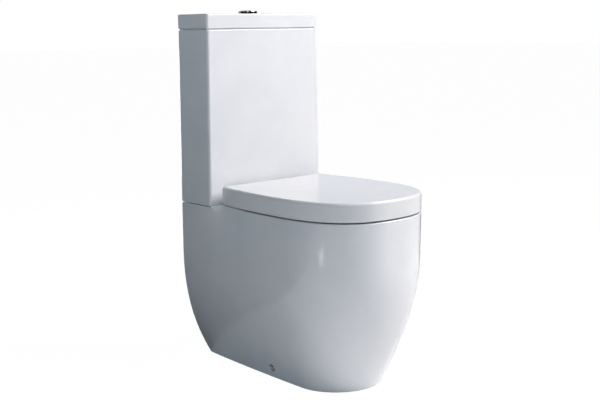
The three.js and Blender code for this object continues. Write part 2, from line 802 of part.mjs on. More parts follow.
// Bolt with a domed head inside the cistern and its thread down through the pan's deck
function couplingBolt() {
  return turned([
    [0, COUPLING_BOLT_END],
    [BOLT_RADIUS - 0.8, COUPLING_BOLT_END],
    [BOLT_RADIUS, COUPLING_BOLT_END + 1],
    [BOLT_RADIUS, FLANGE_BOTTOM],
    [BOLT_HEAD_RADIUS, FLANGE_BOTTOM],
    [BOLT_HEAD_RADIUS, FLANGE_BOTTOM + 2.5],
    [BOLT_HEAD_RADIUS - 3, FLANGE_BOTTOM + 5.5],
    [0, FLANGE_BOTTOM + 6.5],
  ], 12);
}

// Angle that stands on the floor inside the skirt, drawn for the right side
function floorAngle() {
  const foot = box([50, 98], [-16, 16], [0, 6]);
  const upright = box([90, 98], [-16, 16], [5, 48]);
  return cut(
    join(foot, upright),
    column(SCREW_RADIUS + GAP, [-2, 8], [FIXING_X, 0]),
    axle(SCREW_RADIUS + GAP, [85, 101], [0, FIXING_Z]),
  );
}

// Countersunk screw along +Z with its tip at the origin
function screw(length) {
  const headRadius = 5.6;
  const headDepth = 3;
  return turned([
    [0, 0],
    [SCREW_RADIUS - 1, 0],
    [SCREW_RADIUS, 2],
    [SCREW_RADIUS, length - headDepth],
    [headRadius, length - headDepth],
    [headRadius, length - headDepth / 2],
    [headRadius - 1.4, length],
    [0, length],
  ], 12);
}

// Domed cover cap along +Z on a sunk flange, its foot at the origin
function coverCap() {
  return turned([
    [0, 0],
    [CAP_RADIUS, 0],
    [CAP_RADIUS, 2],
    [CAP_DOME_RADIUS, 2.6],
    [CAP_DOME_RADIUS, CAP_HEIGHT - 3.5],
    [CAP_DOME_RADIUS - 0.6, CAP_HEIGHT - 1.9],
    [CAP_DOME_RADIUS - 2.7, CAP_HEIGHT - 0.5],
    [0, CAP_HEIGHT],
  ], 18);
}

// ---------- flush valve, about the axis of the cistern outlet ----------

function flushValveBase() {
  const seatRadius = TAIL_BORE + 2.5;
  return turned([
    [TAIL_BORE, TAIL_END],
    [TAIL_RADIUS, TAIL_END],
    [TAIL_RADIUS, FLANGE_BOTTOM],
    [FLANGE_RADIUS, FLANGE_BOTTOM],
    [FLANGE_RADIUS, FLANGE_BOTTOM + 4],
    [seatRadius, FLANGE_BOTTOM + 5],
    [seatRadius, VALVE_SEAT_Z],
    [TAIL_BORE, VALVE_SEAT_Z],
  ], LARGE_FACETS);
}

function flatSeal(inner, outer) {
  return tube(inner, outer, [TANK_FLOOR + GAP, TANK_FLOOR + GAP + SEAL_THICKNESS]);
}

function flushValveBacknut() {
  const body = column(38, [BACKNUT_BOTTOM, TANK_BOTTOM - GAP], [0, 0], 6);
  return cut(body, column(TAIL_RADIUS + 0.8, [TAIL_END, TANK_FLOOR], [0, 0], LARGE_FACETS));
}

// Soft ring squeezed between the cistern and the pan's flush hole
function couplingGasket() {
  const innerRadius = FLANGE_RADIUS;
  const plugRadius = FLUSH_HOLE_RADIUS - 0.8;
  const brimRadius = FLUSH_HOLE_RADIUS + 9;
  return turned([
    [innerRadius, BACKNUT_BOTTOM],
    [plugRadius, BACKNUT_BOTTOM],
    [plugRadius, SHELF_Z + GAP],
    [brimRadius, SHELF_Z + GAP],
    [brimRadius, TANK_BOTTOM - GAP],
    [innerRadius, TANK_BOTTOM - GAP],
  ], LARGE_FACETS);
}

// Guide housing with windows round its foot and two pads for the push rods on its head
function flushValveTower() {
  const shell = turned([
    [TOWER_FOOT_RADIUS - TOWER_WALL, VALVE_SEAT_Z - 4],
    [TOWER_FOOT_RADIUS, VALVE_SEAT_Z - 4],
    [TOWER_FOOT_RADIUS, TOWER_NECK_Z],
    [TOWER_RADIUS, TOWER_NECK_Z + 12],
    [TOWER_RADIUS, TOWER_HEAD_Z],
    [0, TOWER_HEAD_Z],
    [0, TOWER_HEAD_Z - 6],
    [TOWER_RADIUS - TOWER_WALL, TOWER_HEAD_Z - 6],
    [TOWER_RADIUS - TOWER_WALL, TOWER_NECK_Z + 10],
    [TOWER_FOOT_RADIUS - TOWER_WALL, TOWER_NECK_Z - 1],
  ]);
  const windows = [0, 1, 2, 3].map((quarter) => {
    const geometry = new THREE.BoxGeometry(28, 22, 24);
    geometry.translate(TOWER_FOOT_RADIUS - TOWER_WALL, 0, VALVE_SEAT_Z + 15);
    geometry.rotateZ((quarter + 0.5) * Math.PI / 2);
    return solid(geometry);
  });
  const upperWindow = box([-40, 40], [-8, 8], [TOWER_HEAD_Z - 66, TOWER_HEAD_Z - 16]);
  const pads = [FULL_ROD_X, HALF_ROD_X].map((x) => column(4, [TOWER_HEAD_Z - 1, TOWER_TOP], [x, 0], 12));
  return join(cut(shell, ...windows, upperWindow), ...pads);
}

// Overflow tube that carries the flush seal
function flushValveCore() {
  return turned([
    [CORE_BORE, VALVE_SEAT_Z + GAP],
    [CORE_HUB_RADIUS, VALVE_SEAT_Z + GAP],
    [CORE_HUB_RADIUS, VALVE_SEAT_Z + 4],
    [TAIL_BORE - 2, VALVE_SEAT_Z + 4],
    [TAIL_BORE - 2, VALVE_SEAT_Z + 8],
    [CORE_BORE + 2, VALVE_SEAT_Z + 10],
    [CORE_BORE + 2, CORE_TOP],
    [CORE_BORE, CORE_TOP],
  ]);
}

function coreSeal() {
  return tube(CORE_HUB_RADIUS + GAP, TAIL_BORE + 2, [VALVE_SEAT_Z + GAP, VALVE_SEAT_Z + 4 - GAP]);
}

// ---------- push buttons, about the same axis ----------

function buttonBezel() {
  const bottom = BEZEL_FLOOR - 2.5;
  const ring = turned([
    [BEZEL_BORE, bottom],
    [BEZEL_BARREL, bottom],
    [BEZEL_BARREL, COVER_TOP + GAP],
    [BEZEL_RADIUS, COVER_TOP + GAP],
    [BEZEL_RADIUS, BEZEL_TOP - 2],
    [BEZEL_RADIUS - 1.5, BEZEL_TOP],
    [BEZEL_BORE, BEZEL_TOP],
  ], LARGE_FACETS);
  const floor = column(BEZEL_BORE + 1, [bottom, BEZEL_FLOOR], [0, 0], LARGE_FACETS);
  const rodHole = (x) => column(ROD_RADIUS + 0.6, [bottom - 5, BEZEL_FLOOR + 3], [x, 0], 10);
  return cut(join(ring, floor), rodHole(FULL_ROD_X), rodHole(HALF_ROD_X));
}

function bezelNut() {
  const top = COVER_TOP - COVER_THICKNESS - GAP;
  const body = column(27, [top - 6, top], [0, 0], 6);
  return cut(body, column(BEZEL_BARREL + 0.5, [top - 8, top + 2], [0, 0], LARGE_FACETS));
}

// One part of the split disc: the side of the split line given by -1 or 1
function button(side) {
  const disc = turned([
    [0, BUTTON_BOTTOM],
    [BUTTON_RADIUS, BUTTON_BOTTOM],
    [BUTTON_RADIUS, BUTTON_TOP - 1],
    [BUTTON_RADIUS - 1, BUTTON_TOP],
    [0, BUTTON_TOP],
  ], LARGE_FACETS);
  const beyond = 2 * BUTTON_RADIUS;
  const split = BUTTON_SPLIT_X + side * GAP;
  const away = side < 0 ? [split, beyond] : [-beyond, split];
  return cut(disc, box(away, [-beyond, beyond], [BUTTON_BOTTOM - 5, BUTTON_TOP + 5]));
}

function pushRod() {
  return turned([
    [0, ROD_END_Z],
    [ROD_RADIUS, ROD_END_Z + 1],
    [ROD_RADIUS, BUTTON_BOTTOM - GAP],
    [0, BUTTON_BOTTOM - GAP],
  ], 10);
}

// Coil round a push rod, between the bezel's floor and the button
function buttonSpring() {
  const coilRadius = 4.4;
  const wireRadius = 0.5;
  const turns = 4;
  const stepsPerTurn = 7;
  const bottom = BEZEL_FLOOR + wireRadius + GAP;
  const height = BUTTON_BOTTOM - BEZEL_FLOOR - 2 * (wireRadius + GAP);
  const points = spread(0, 1, turns * stepsPerTurn + 1).map((share) => new THREE.Vector3(
    coilRadius * Math.cos(share * turns * 2 * Math.PI),
    coilRadius * Math.sin(share * turns * 2 * Math.PI),
    bottom + share * height,
  ));
  const wire = new THREE.Shape().absarc(0, 0, wireRadius, 0, 2 * Math.PI);
  return solid(new THREE.ExtrudeGeometry(wire, {
    extrudePath: new THREE.CatmullRomCurve3(points),
    steps: turns * stepsPerTurn,
    curveSegments: 2,
  }));
}

// ---------- fill valve, about its riser ----------

function fillValveBody() {
  const pipe = turned([
    [FILL_TAIL_BORE, FILL_TAIL_END],
    [FILL_TAIL_RADIUS, FILL_TAIL_END],
    [FILL_TAIL_RADIUS, FLANGE_BOTTOM],
    [FILL_FLANGE_RADIUS, FLANGE_BOTTOM],
    [FILL_FLANGE_RADIUS, FLANGE_BOTTOM + 4],
    [RISER_RADIUS, FLANGE_BOTTOM + 6],
    [RISER_RADIUS, HEAD_BOTTOM],
    [HEAD_RADIUS, HEAD_BOTTOM],
    [HEAD_RADIUS, HEAD_TOP - 3],
    [HEAD_RADIUS - 3, HEAD_TOP],
    [0, HEAD_TOP],
    [0, HEAD_BOTTOM],
    [FILL_TAIL_BORE, HEAD_BOTTOM - 6],
  ]);
  const fulcrum = box([-3, 7], [-4, 2.2], [HEAD_TOP - 2, LEVER_Z + 4]);
  return join(pipe, fulcrum);
}

function fillValveBacknut() {
  const body = column(16.5, [BACKNUT_BOTTOM, TANK_BOTTOM - GAP], [0, 0], 6);
  return cut(body, column(FILL_TAIL_RADIUS + 0.5, [TAIL_END, TANK_FLOOR]));
}

// Upturned cup round the riser, with the link rod that works the lever
function fillFloat() {
  const bore = RISER_RADIUS + 1.6;
  const roof = FLOAT_TOP - 4;
  const cup = turned([
    [bore, FLOAT_BOTTOM],
    [bore + FLOAT_WALL, FLOAT_BOTTOM],
    [bore + FLOAT_WALL, roof],
    [FLOAT_RADIUS - FLOAT_WALL, roof],
    [FLOAT_RADIUS - FLOAT_WALL, FLOAT_BOTTOM],
    [FLOAT_RADIUS, FLOAT_BOTTOM],
    [FLOAT_RADIUS, FLOAT_TOP],
    [bore, FLOAT_TOP],
  ]);
  const arm = box([-LEVER_REACH - 3, -18], [-4, 4], [FLOAT_TOP - 3, FLOAT_TOP + 3]);
  const link = column(2, [FLOAT_TOP - 1, LEVER_Z + 6], [-LEVER_REACH, 0], 12);
  return join(cup, arm, link);
}

// Arm pivoted over the valve's head that lies beside the float's link rod
function fillLever() {
  const arm = box([-LEVER_REACH - 6, 9], [2.7, 6], [-3.5, 3.5]);
  const boss = solid(new THREE.CylinderGeometry(5, 5, 3.3, 12).translate(2, 4.35, 0));
  return join(arm, boss);
}

// ---------- assembly ----------

const toilet = new THREE.Group();

function add(name, finish, body, position = [0, 0, 0], rotation = [0, 0, 0]) {
  const mesh = new THREE.Mesh(geometryOf(body), new THREE.MeshStandardMaterial(FINISHES[finish]));
  mesh.name = name;
  mesh.position.set(...position);
  mesh.rotation.set(...rotation);
  toilet.add(mesh);
}

const sides = [[-1, 'left'], [1, 'right']];
const deckUnderside = PAN_TOP - DECK_THICKNESS;
const washerThickness = 4;

add('pan', 'glazed_ceramic', pan());
add('cistern_tank', 'glazed_ceramic', cisternTank());
add('cistern_lid', 'glazed_ceramic', cisternCover());
add('toilet_lid', 'seat_plastic', toiletLid());
add('seat_ring', 'seat_plastic', seatRing());

const seatBufferPlaces = { front: [95, -215], rear: [125, 70] };
for (const [place, [x, y]] of Object.entries(seatBufferPlaces)) {
  for (const [side, hand] of sides) {
    const body = buffer(8, SEAT_BOTTOM - PAN_TOP - 2 * GAP);
    add(`seat_buffer_${place}_${hand}`, 'buffer_rubber', body, [side * x, y, SEAT_BOTTOM - GAP]);
  }
}
for (const [side, hand] of sides) {
  const body = buffer(7, LID_TOP - LID_SKIN - SEAT_TOP - 2 * GAP);
  add(`lid_buffer_${hand}`, 'buffer_rubber', body, [side * 115, -185, LID_TOP - LID_SKIN - GAP]);
}

for (const [side, hand] of sides) {
  const x = side * HINGE_X;
  add(`hinge_post_${hand}`, 'chrome', hingePost(), [x, HINGE_Y, PAN_TOP]);
  add(`hinge_pin_${hand}`, 'steel', hingePin(), [x, HINGE_Y, HINGE_Z]);
  add(`seat_bolt_${hand}`, 'steel', stud(BOLT_RADIUS, [-38, SEAT_BOLT_TOP]), [x, HINGE_Y, PAN_TOP]);
  const washer = tube(BOLT_RADIUS + GAP, 12, [-washerThickness, -GAP]);
  add(`seat_washer_${hand}`, 'rubber', washer, [x, HINGE_Y, deckUnderside]);
  const nutTop = deckUnderside - washerThickness - GAP;
  add(`seat_wing_nut_${hand}`, 'white_plastic', wingNut(), [x, HINGE_Y, nutTop]);
}
const damperTurn = Math.PI / 2;
for (const [name, postX] of [['seat_damper', -HINGE_X], ['lid_damper', HINGE_X]]) {
  const place = [postX + EAR_FAR + 1, HINGE_Y, HINGE_Z];
  add(name, 'grey_plastic', damperCartridge(), place, [0, damperTurn, 0]);
}

for (const [side, hand] of sides) {
  const x = side * COUPLING_X;
  add(`coupling_bolt_${hand}`, 'steel', couplingBolt(), [x, VALVE_Y, 0]);
  add(`coupling_washer_${hand}`, 'rubber', flatSeal(BOLT_RADIUS + GAP, 14), [x, VALVE_Y, 0]);
  add(`coupling_wing_nut_${hand}`, 'steel', wingNut(), [x, VALVE_Y, deckUnderside - GAP]);
  const pad = box([-10, 10], [-40, 40], [SHELF_Z + GAP, TANK_BOTTOM - GAP]);
  add(`cistern_pad_${hand}`, 'rubber', pad, [side * 160, VALVE_Y, 0]);
}

for (const [side, hand] of sides) {
  const turn = side < 0 ? Math.PI : 0;
  add(`floor_bracket_${hand}`, 'grey_plastic', floorAngle(), [0, FIXING_Y, 0], [0, 0, turn]);
  add(`floor_screw_${hand}`, 'steel', screw(10), [side * FIXING_X, FIXING_Y, GAP]);
  const outwards = [0, side * Math.PI / 2, 0];
  add(`side_screw_${hand}`, 'steel', screw(30), [side * 84, FIXING_Y, FIXING_Z], outwards);
  add(`side_cap_${hand}`, 'chrome', coverCap(), [side * CAP_X, FIXING_Y, FIXING_Z], outwards);
}

const outletAxis = [0, VALVE_Y, 0];
add('flush_valve_base', 'white_plastic', flushValveBase(), outletAxis);
add('flush_valve_washer', 'rubber', flatSeal(TAIL_RADIUS + 0.6, 39), outletAxis);
add('flush_valve_backnut', 'white_plastic', flushValveBacknut(), outletAxis);
add('coupling_gasket', 'rubber', couplingGasket(), outletAxis);
add('flush_valve_tower', 'white_plastic', flushValveTower(), outletAxis);
add('flush_valve_core', 'blue_plastic', flushValveCore(), outletAxis);
add('flush_valve_seal', 'rubber', coreSeal(), outletAxis);

add('button_bezel', 'chrome', buttonBezel(), outletAxis);
add('bezel_nut', 'grey_plastic', bezelNut(), outletAxis);
for (const [side, name, rodX] of [[-1, 'full', FULL_ROD_X], [1, 'half', HALF_ROD_X]]) {
  add(`button_${name}`, 'chrome', button(side), outletAxis);
  add(`push_rod_${name}`, 'grey_plastic', pushRod(), [rodX, VALVE_Y, 0]);
  add(`button_spring_${name}`, 'steel', buttonSpring(), [rodX, VALVE_Y, 0]);
}

const fillAxis = [FILL_X, VALVE_Y, 0];
add('fill_valve_body', 'white_plastic', fillValveBody(), fillAxis);
add('fill_valve_washer', 'rubber', flatSeal(FILL_TAIL_RADIUS + GAP, 18), fillAxis);
add('fill_valve_backnut', 'white_plastic', fillValveBacknut(), fillAxis);
add('fill_float', 'blue_plastic', fillFloat(), fillAxis);
add('fill_lever', 'grey_plastic', fillLever(), [FILL_X, VALVE_Y, LEVER_Z]);

export default toilet;
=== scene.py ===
"""Looks of a close coupled toilet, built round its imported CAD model. Metres, +Z up, wall at +Y."""

import json
import math

import bpy
from mathutils import Matrix, Vector


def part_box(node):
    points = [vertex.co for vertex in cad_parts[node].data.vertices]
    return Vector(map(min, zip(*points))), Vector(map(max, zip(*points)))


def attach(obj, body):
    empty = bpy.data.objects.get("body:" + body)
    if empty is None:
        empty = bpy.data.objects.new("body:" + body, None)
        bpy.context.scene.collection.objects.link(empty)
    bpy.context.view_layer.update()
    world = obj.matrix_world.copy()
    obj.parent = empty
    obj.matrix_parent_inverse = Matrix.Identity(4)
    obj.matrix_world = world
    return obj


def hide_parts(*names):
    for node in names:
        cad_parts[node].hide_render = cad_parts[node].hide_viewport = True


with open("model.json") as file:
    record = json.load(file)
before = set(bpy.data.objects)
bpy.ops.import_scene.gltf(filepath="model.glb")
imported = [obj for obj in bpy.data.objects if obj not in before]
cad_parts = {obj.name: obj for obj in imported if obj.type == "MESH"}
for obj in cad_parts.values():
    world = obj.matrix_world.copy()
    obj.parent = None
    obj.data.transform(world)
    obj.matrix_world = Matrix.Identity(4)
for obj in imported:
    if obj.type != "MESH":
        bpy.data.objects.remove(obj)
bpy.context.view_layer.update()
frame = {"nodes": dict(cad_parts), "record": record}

# ---------- sizes, from the CAD nodes where a node gives them ----------

MM = 0.001
GAP = 0.3 * MM
PAST = 10 * MM  # how far a cutter reaches past the face that it opens
OVERLAP = 2 * MM  # how far joined bodies run into each other
HAIR = 0.05 * MM  # keeps two cuts from sharing a face

PAN_LOW, PAN_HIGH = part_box("pan")
TANK_LOW, TANK_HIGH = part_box("cistern_tank")
LID_LOW, LID_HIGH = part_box("toilet_lid")
COVER_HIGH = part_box("cistern_lid")[1]
SEAT_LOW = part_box("seat_ring")[0]
BEZEL_LOW, BEZEL_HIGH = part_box("button_bezel")
BUTTON_LOW, BUTTON_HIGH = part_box("button_full")
POST_LOW, POST_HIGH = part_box("hinge_post_right")
PIN_LOW, PIN_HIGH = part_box("hinge_pin_right")
CAP_LOW, CAP_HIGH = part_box("side_cap_right")

WALL_Y = PAN_HIGH[1]
FRONT_Y = PAN_LOW[1]
PAN_TOP = PAN_HIGH[2]
SHELF_Z = 411.5 * MM
SHELF_CLEARANCE = 1.2 * MM
PAN_WALL = 14 * MM
DECK_THICKNESS = 16 * MM
PAN_EDGE_RADIUS = 3 * MM
PAN_REAR_HALF = PAN_HIGH[0]
PAN_REAR_HALF_FLOOR = 101.2 * MM
PAN_REAR_FLARE_HEIGHT = 295 * MM
PAN_REAR_FLARE_POWER = 2.25
PAN_REAR_RADIUS = 8 * MM
PAN_FOOT_RADIUS = 1.5 * MM
HOLLOW_LOW = -5 * MM
HOLLOW_START = 10 * MM
PAN_MID_HALF = 176 * MM
PAN_MID_HALF_FLOOR = 115 * MM
PAN_FLARE_HEIGHT = 300 * MM
PAN_MID_Y = -57 * MM
PAN_MID_Y_FLOOR = -87 * MM
PAN_FRONT_Y_FLOOR = -197.5 * MM
PAN_FRONT_POWER = 2.6
PAN_FRONT_POWER_FLOOR = 1.95
REAR_STATION_Y = 262 * MM
MID_MARGIN = 8 * MM
SHOULDER_START_Z = 300 * MM
SHOULDER_FRONT_Y = 40 * MM
SHOULDER_FAN = 0.6

RIM = {"half": 127 * MM, "centre": -75 * MM, "front": 168 * MM, "rear": 159 * MM}
SUMP = {"half": 42 * MM, "centre": 5 * MM, "front": 50 * MM, "rear": 45 * MM}
BOWL_DEPTH = 295 * MM
BOWL_CURVE = 1.8
BOWL_POWER = 2.3
BOWL_WALL = 12 * MM
BOWL_FLOOR = ((0.985, 3 * MM), (1.0, 12 * MM))  # (share of the depth, drawn in by)
RIM_LIP = 6 * MM
RIM_ROUNDING = 5 * MM
MOUTH_DEPTH = 20 * MM
TRAP_RADIUS = 30 * MM
TRAP_WALL = 9 * MM
PIPE_FACETS = 32
TRAP_START_Y = -8 * MM
TRAP_SUMP_Z = 150 * MM
TRAP_RISE_RADIUS = 50 * MM
TRAP_RISE_Y = 108 * MM
TRAP_WEIR_Z = 271 * MM
TRAP_WEIR_RADIUS = 41 * MM
TRAP_FALL_RADIUS = 40 * MM
OUTLET_Z = 190 * MM
OUTLET_START_Y = 224 * MM
OUTLET_END_Y = 262 * MM
TRAP_WALL_END_Y = OUTLET_END_Y - 8 * MM
SPIGOT_RADIUS = 51 * MM
FLUSHWAY_HALF = 46 * MM
FLUSHWAY_Y = (60 * MM, 275 * MM)
FLUSHWAY_BOTTOM = 360 * MM
FLUSHWAY_WALL = 12 * MM
FLUSH_HOLE_RADIUS = 44 * MM
PAN_FILL_HOLE_RADIUS = 18 * MM

TANK_FRONT_Y = TANK_LOW[1]
TANK_BOTTOM = TANK_LOW[2]
TANK_TOP = TANK_HIGH[2]
TANK_HALF_BOTTOM = 182.2 * MM
TANK_HALF_TOP = 176 * MM
TANK_WALL = 10 * MM
TANK_FLOOR = TANK_BOTTOM + 12 * MM
TANK_FRONT_RADIUS = 7 * MM
TANK_REAR_RADIUS = 9 * MM
TANK_FOOT_RADIUS = 3 * MM
TANK_RIM_RADIUS = 1.8 * MM
TANK_VALVE_HOLE_RADIUS = 30.5 * MM
TANK_FILL_HOLE_RADIUS = 11.5 * MM
COVER_BOTTOM = 842 * MM
COVER_TOP = COVER_HIGH[2]
COVER_HALF = COVER_HIGH[0]
COVER_THICKNESS = 9 * MM
COVER_FOOT_RADIUS = 1.2 * MM
COVER_EDGE_RADIUS = 3.5 * MM
COVER_HOLE_RADIUS = 20 * MM
VALVE_Y = (BEZEL_LOW[1] + BEZEL_HIGH[1]) / 2

LID_BOTTOM = LID_LOW[2]
LID_TOP = LID_HIGH[2]
LID_REAR_Y = LID_HIGH[1]
LID_REAR_HALF = 159.5 * MM
LID_REAR_RADIUS = 5.5 * MM
LID_SKIN = 5 * MM
LID_EDGE_RADIUS = 7 * MM
LID_FOOT_RADIUS = 1.8 * MM
LID_INNER_RADIUS = 3 * MM
LID_SHADOW_GAP = 0.6 * MM
LID_REAR_LIP_Z = 438 * MM
LID_SIDE_START_Y = LID_REAR_Y - 14 * MM
NOTCH_HALF = 50 * MM
SEAT_INSET = 8 * MM
SEAT_BOTTOM = SEAT_LOW[2]
SEAT_TOP = 445 * MM
SEAT_FALL = 10.7 * MM
SEAT_REAR_Y = 116 * MM
SEAT_REAR_RADIUS = 24 * MM
SEAT_HOLE = {"half": 108 * MM, "centre": -78 * MM, "front": 134 * MM, "rear": 133 * MM}
HINGE_Y = (PIN_LOW[1] + PIN_HIGH[1]) / 2
HINGE_Z = (PIN_LOW[2] + PIN_HIGH[2]) / 2
HINGE_X = (PIN_LOW[0] + PIN_HIGH[0]) / 2
PIN_BORE_RADIUS = 4.3 * MM
POST_BORE_RADIUS = 4.1 * MM
STUD_BORE_RADIUS = 4.3 * MM
STUD_BORE_DEPTH = 18.3 * MM
BORE_LENGTH = 40 * MM
EAR_RADIUS = 8 * MM
EAR_NEAR = 10.5 * MM
EAR_FAR = 21 * MM

COUPLING_X = 75 * MM
COUPLING_HOLE_RADIUS = 6 * MM
SEAT_BOLT_HOLE_RADIUS = 7 * MM
FILL_X = 128 * MM
FIXING_Y = (CAP_LOW[1] + CAP_HIGH[1]) / 2
FIXING_Z = (CAP_LOW[2] + CAP_HIGH[2]) / 2
CAP_RADIUS = (CAP_HIGH[1] - CAP_LOW[1]) / 2
CAP_DOME_RADIUS = 6.5 * MM
CAP_CLEARANCE = 0.5 * MM
SIDE_HOLE_REACH = (95 * MM, 150 * MM)
BUTTON_RADIUS = 17 * MM
BUTTON_BORE_RADIUS = 17.3 * MM
BEZEL_BARREL_RADIUS = 19.3 * MM
BUTTON_SPLIT_X = 4 * MM
PUSH_ROD_X = (-6 * MM, 10.5 * MM)
PUSH_ROD_HOLE_RADIUS = 3.1 * MM
SIDES = ((-1, "left"), (1, "right"))
CORNER_STEPS = 9
FRONT_STEPS = 40


# ---------- small helpers ----------

def lerp(start, stop, share):
    return start + (stop - start) * share


def spread(start, stop, count):
    return [lerp(start, stop, i / (count - 1)) for i in range(count)]


def clamp(value):
    return min(1.0, max(0.0, value))


def smoothstep(value, start, stop):
    share = clamp((value - start) / (stop - start))
    return share * share * (3 - 2 * share)


def at_height(outline, z):
    return [(x, y, z) for x, y in outline]


def inset(outline, distance):
    """Moves an anticlockwise outline inwards by the same distance all round."""
    moved = []
    count = len(outline)
    for i, point in enumerate(outline):
        here = Vector(point)
        into = (here - Vector(outline[i - 1])).normalized()
        away = (Vector(outline[(i + 1) % count]) - here).normalized()
        normal = Vector((-into.y - away.y, into.x + away.x)).normalized()
        mitre = max(0.5, normal.x * -into.y + normal.y * into.x)
        moved.append(tuple(here + normal * (distance / mitre)))
    return moved


def oval(shape, power, count, extra=0.0):
    """Superellipse oval with its own reach to the front and to the rear."""
    points = []
    for i in range(count):
        angle = i / count * 2 * math.pi
        across, along = math.cos(angle), math.sin(angle)
        reach = (shape["rear"] if along > 0 else shape["front"]) + extra
        x = (shape["half"] + extra) * math.copysign(abs(across) ** (2 / power), across)
        y = shape["centre"] + reach * math.copysign(abs(along) ** (2 / power), along)
        points.append((x, y))
    return points


def plan_outline(side_half, stations, rear_y, rear_radius, mid_y, mid_half, front_y, power):
    """Symmetric plan outline: rounded rear corners, a side, a superellipse front."""
    corner_x = side_half(rear_y) - rear_radius
    corner_y = rear_y - rear_radius
    right = []
    for angle in spread(math.pi / 2, 0, CORNER_STEPS):
        right.append((corner_x + rear_radius * math.cos(angle), corner_y + rear_radius * math.sin(angle)))
    right += [(side_half(y), y) for y in stations]
    for angle in spread(0, math.pi / 2, FRONT_STEPS)[:-1]:
        x = mid_half * math.cos(angle) ** (2 / power)
        y = mid_y - (mid_y - front_y) * math.sin(angle) ** (2 / power)
        right.append((x, y))
    left = [(-x, y) for x, y in right]
    return left + [(0.0, front_y)] + right[::-1]


def eased_side(y, rear_y, rear_half, mid_y, mid_half):
    share = clamp((rear_y - y) / (rear_y - mid_y))
    return rear_half + (mid_half - rear_half) * (1 - (1 - share) ** 2)


# ---------- mesh building ----------

def mesh_object(name, points, faces):
    mesh = bpy.data.meshes.new(name)
    mesh.from_pydata([tuple(point) for point in points], [], faces)
    mesh.validate()
    piece = bpy.data.objects.new(name, mesh)
    bpy.context.scene.collection.objects.link(piece)
    return piece


def loft(name, rings):
    """Closed skin over rings of equal point count, stacked from bottom to top."""
    count = len(rings[0])
    points = [point for ring in rings for point in ring]
    faces = []
    for level in range(len(rings) - 1):
        low = level * count
        high = low + count
        for i in range(count):
            ahead = (i + 1) % count
            faces.append((low + i, low + ahead, high + ahead, high + i))
    last = (len(rings) - 1) * count
    faces.append(tuple(reversed(range(count))))
    faces.append(tuple(range(last, last + count)))
    return mesh_object(name, points, faces)


def turned(name, corners, facets=48, place=(0, 0, 0), axis="Z"):
    """Body turned about an axis from (radius, height) corners, closed on the axis or as a ring."""
    on_axis = corners[0][0] == 0 and corners[-1][0] == 0
    points = []
    rows = []
    for radius, height in corners:
        if radius == 0:
            rows.append([len(points)] * facets)
            points.append((0, 0, height))
            continue
        rows.append(list(range(len(points), len(points) + facets)))
        for i in range(facets):
            angle = 2 * math.pi * i / facets
            points.append((radius * math.cos(angle), radius * math.sin(angle), height))
    if not on_axis:
        rows.append(rows[0])
    faces = []
    for low, high in zip(rows, rows[1:]):
        for i in range(facets):
            ahead = (i + 1) % facets
            face = [low[i], low[ahead], high[ahead], high[i]]
            unique = list(dict.fromkeys(face))
            if len(unique) > 2:
                faces.append(tuple(unique))
    turns = {
        "X": Matrix.Rotation(math.pi / 2, 4, "Y"),
        "Y": Matrix.Rotation(-math.pi / 2, 4, "X"),
        "Z": Matrix(),
    }
    placed = Matrix.Translation(place) @ turns[axis]
    return mesh_object(name, [placed @ Vector(point) for point in points], faces)


def rod(name, radius, low, high, place, axis="Z", facets=32):
    return turned(name, [(0, low), (radius, low), (radius, high), (0, high)], facets, place, axis)


def block(name, x, y, z):
    outline = [(x[0], y[0]), (x[1], y[0]), (x[1], y[1]), (x[0], y[1])]
    return loft(name, [at_height(outline, z[0]), at_height(outline, z[1])])


def settle(piece):
    """Turns a piece's modifiers into its mesh."""
    graph = bpy.context.evaluated_depsgraph_get()
    mesh = bpy.data.meshes.new_from_object(piece.evaluated_get(graph))
    piece.modifiers.clear()
    piece.data = mesh


def combine(piece, operation, others):
    for other in others:
        step = piece.modifiers.new(operation.lower(), "BOOLEAN")
        step.operation = operation
        step.solver = "MANIFOLD"
        step.object = other
    settle(piece)
    for other in others:
        bpy.data.objects.remove(other)
    return piece


def join(piece, *others):
    return combine(piece, "UNION", others)


def cut(piece, *others):
    return combine(piece, "DIFFERENCE", others)


def smooth(piece, degrees=32):
    """Smooth shading that keeps real edges crisp and flat faces flat."""
    piece.data.shade_smooth()
    piece.data.set_sharp_from_angle(angle=math.radians(degrees))
    weighted = piece.modifiers.new("weighted_normals", "WEIGHTED_NORMAL")
    weighted.keep_sharp = True
    return piece


def side_span(side, near, far):
    return (-far, -near) if side < 0 else (near, far)


# ---------- pan ----------

def flared(z, top, floor):
    """A size at height z, which narrows along a quarter sine from the top size to the floor's."""
    rise = clamp(z / PAN_FLARE_HEIGHT)
    return top - (top - floor) * (1 - math.sin(rise * math.pi / 2))


def pan_rear_half(z):
    rise = clamp(z / PAN_REAR_FLARE_HEIGHT)
    return PAN_REAR_HALF - (PAN_REAR_HALF - PAN_REAR_HALF_FLOOR) * (1 - rise) ** PAN_REAR_FLARE_POWER


def lid_half(y):
    return eased_side(y, LID_REAR_Y, LID_REAR_HALF, PAN_MID_Y, PAN_MID_HALF)


def pan_side_half(y, z, mid_y, mid_half):
    """Full width under the cistern, stepping in to follow the lid; the step fans out lower down."""
    edge_z = PAN_TOP - PAN_EDGE_RADIUS
    rear_half = pan_rear_half(z)
    plain = eased_side(y, WALL_Y, rear_half, mid_y, mid_half)
    depth = clamp((edge_z - z) / (edge_z - SHOULDER_START_Z))
    fan = depth ** SHOULDER_FAN
    step_front = lerp(LID_REAR_Y - LID_REAR_RADIUS, SHOULDER_FRONT_Y, fan)
    step_rear = lerp(TANK_FRONT_Y, WALL_Y, fan)
    stepped = lerp(lid_half(y), rear_half, smoothstep(y, step_front, step_rear))
    return lerp(plain, stepped, smoothstep(z, SHOULDER_START_Z, edge_z))


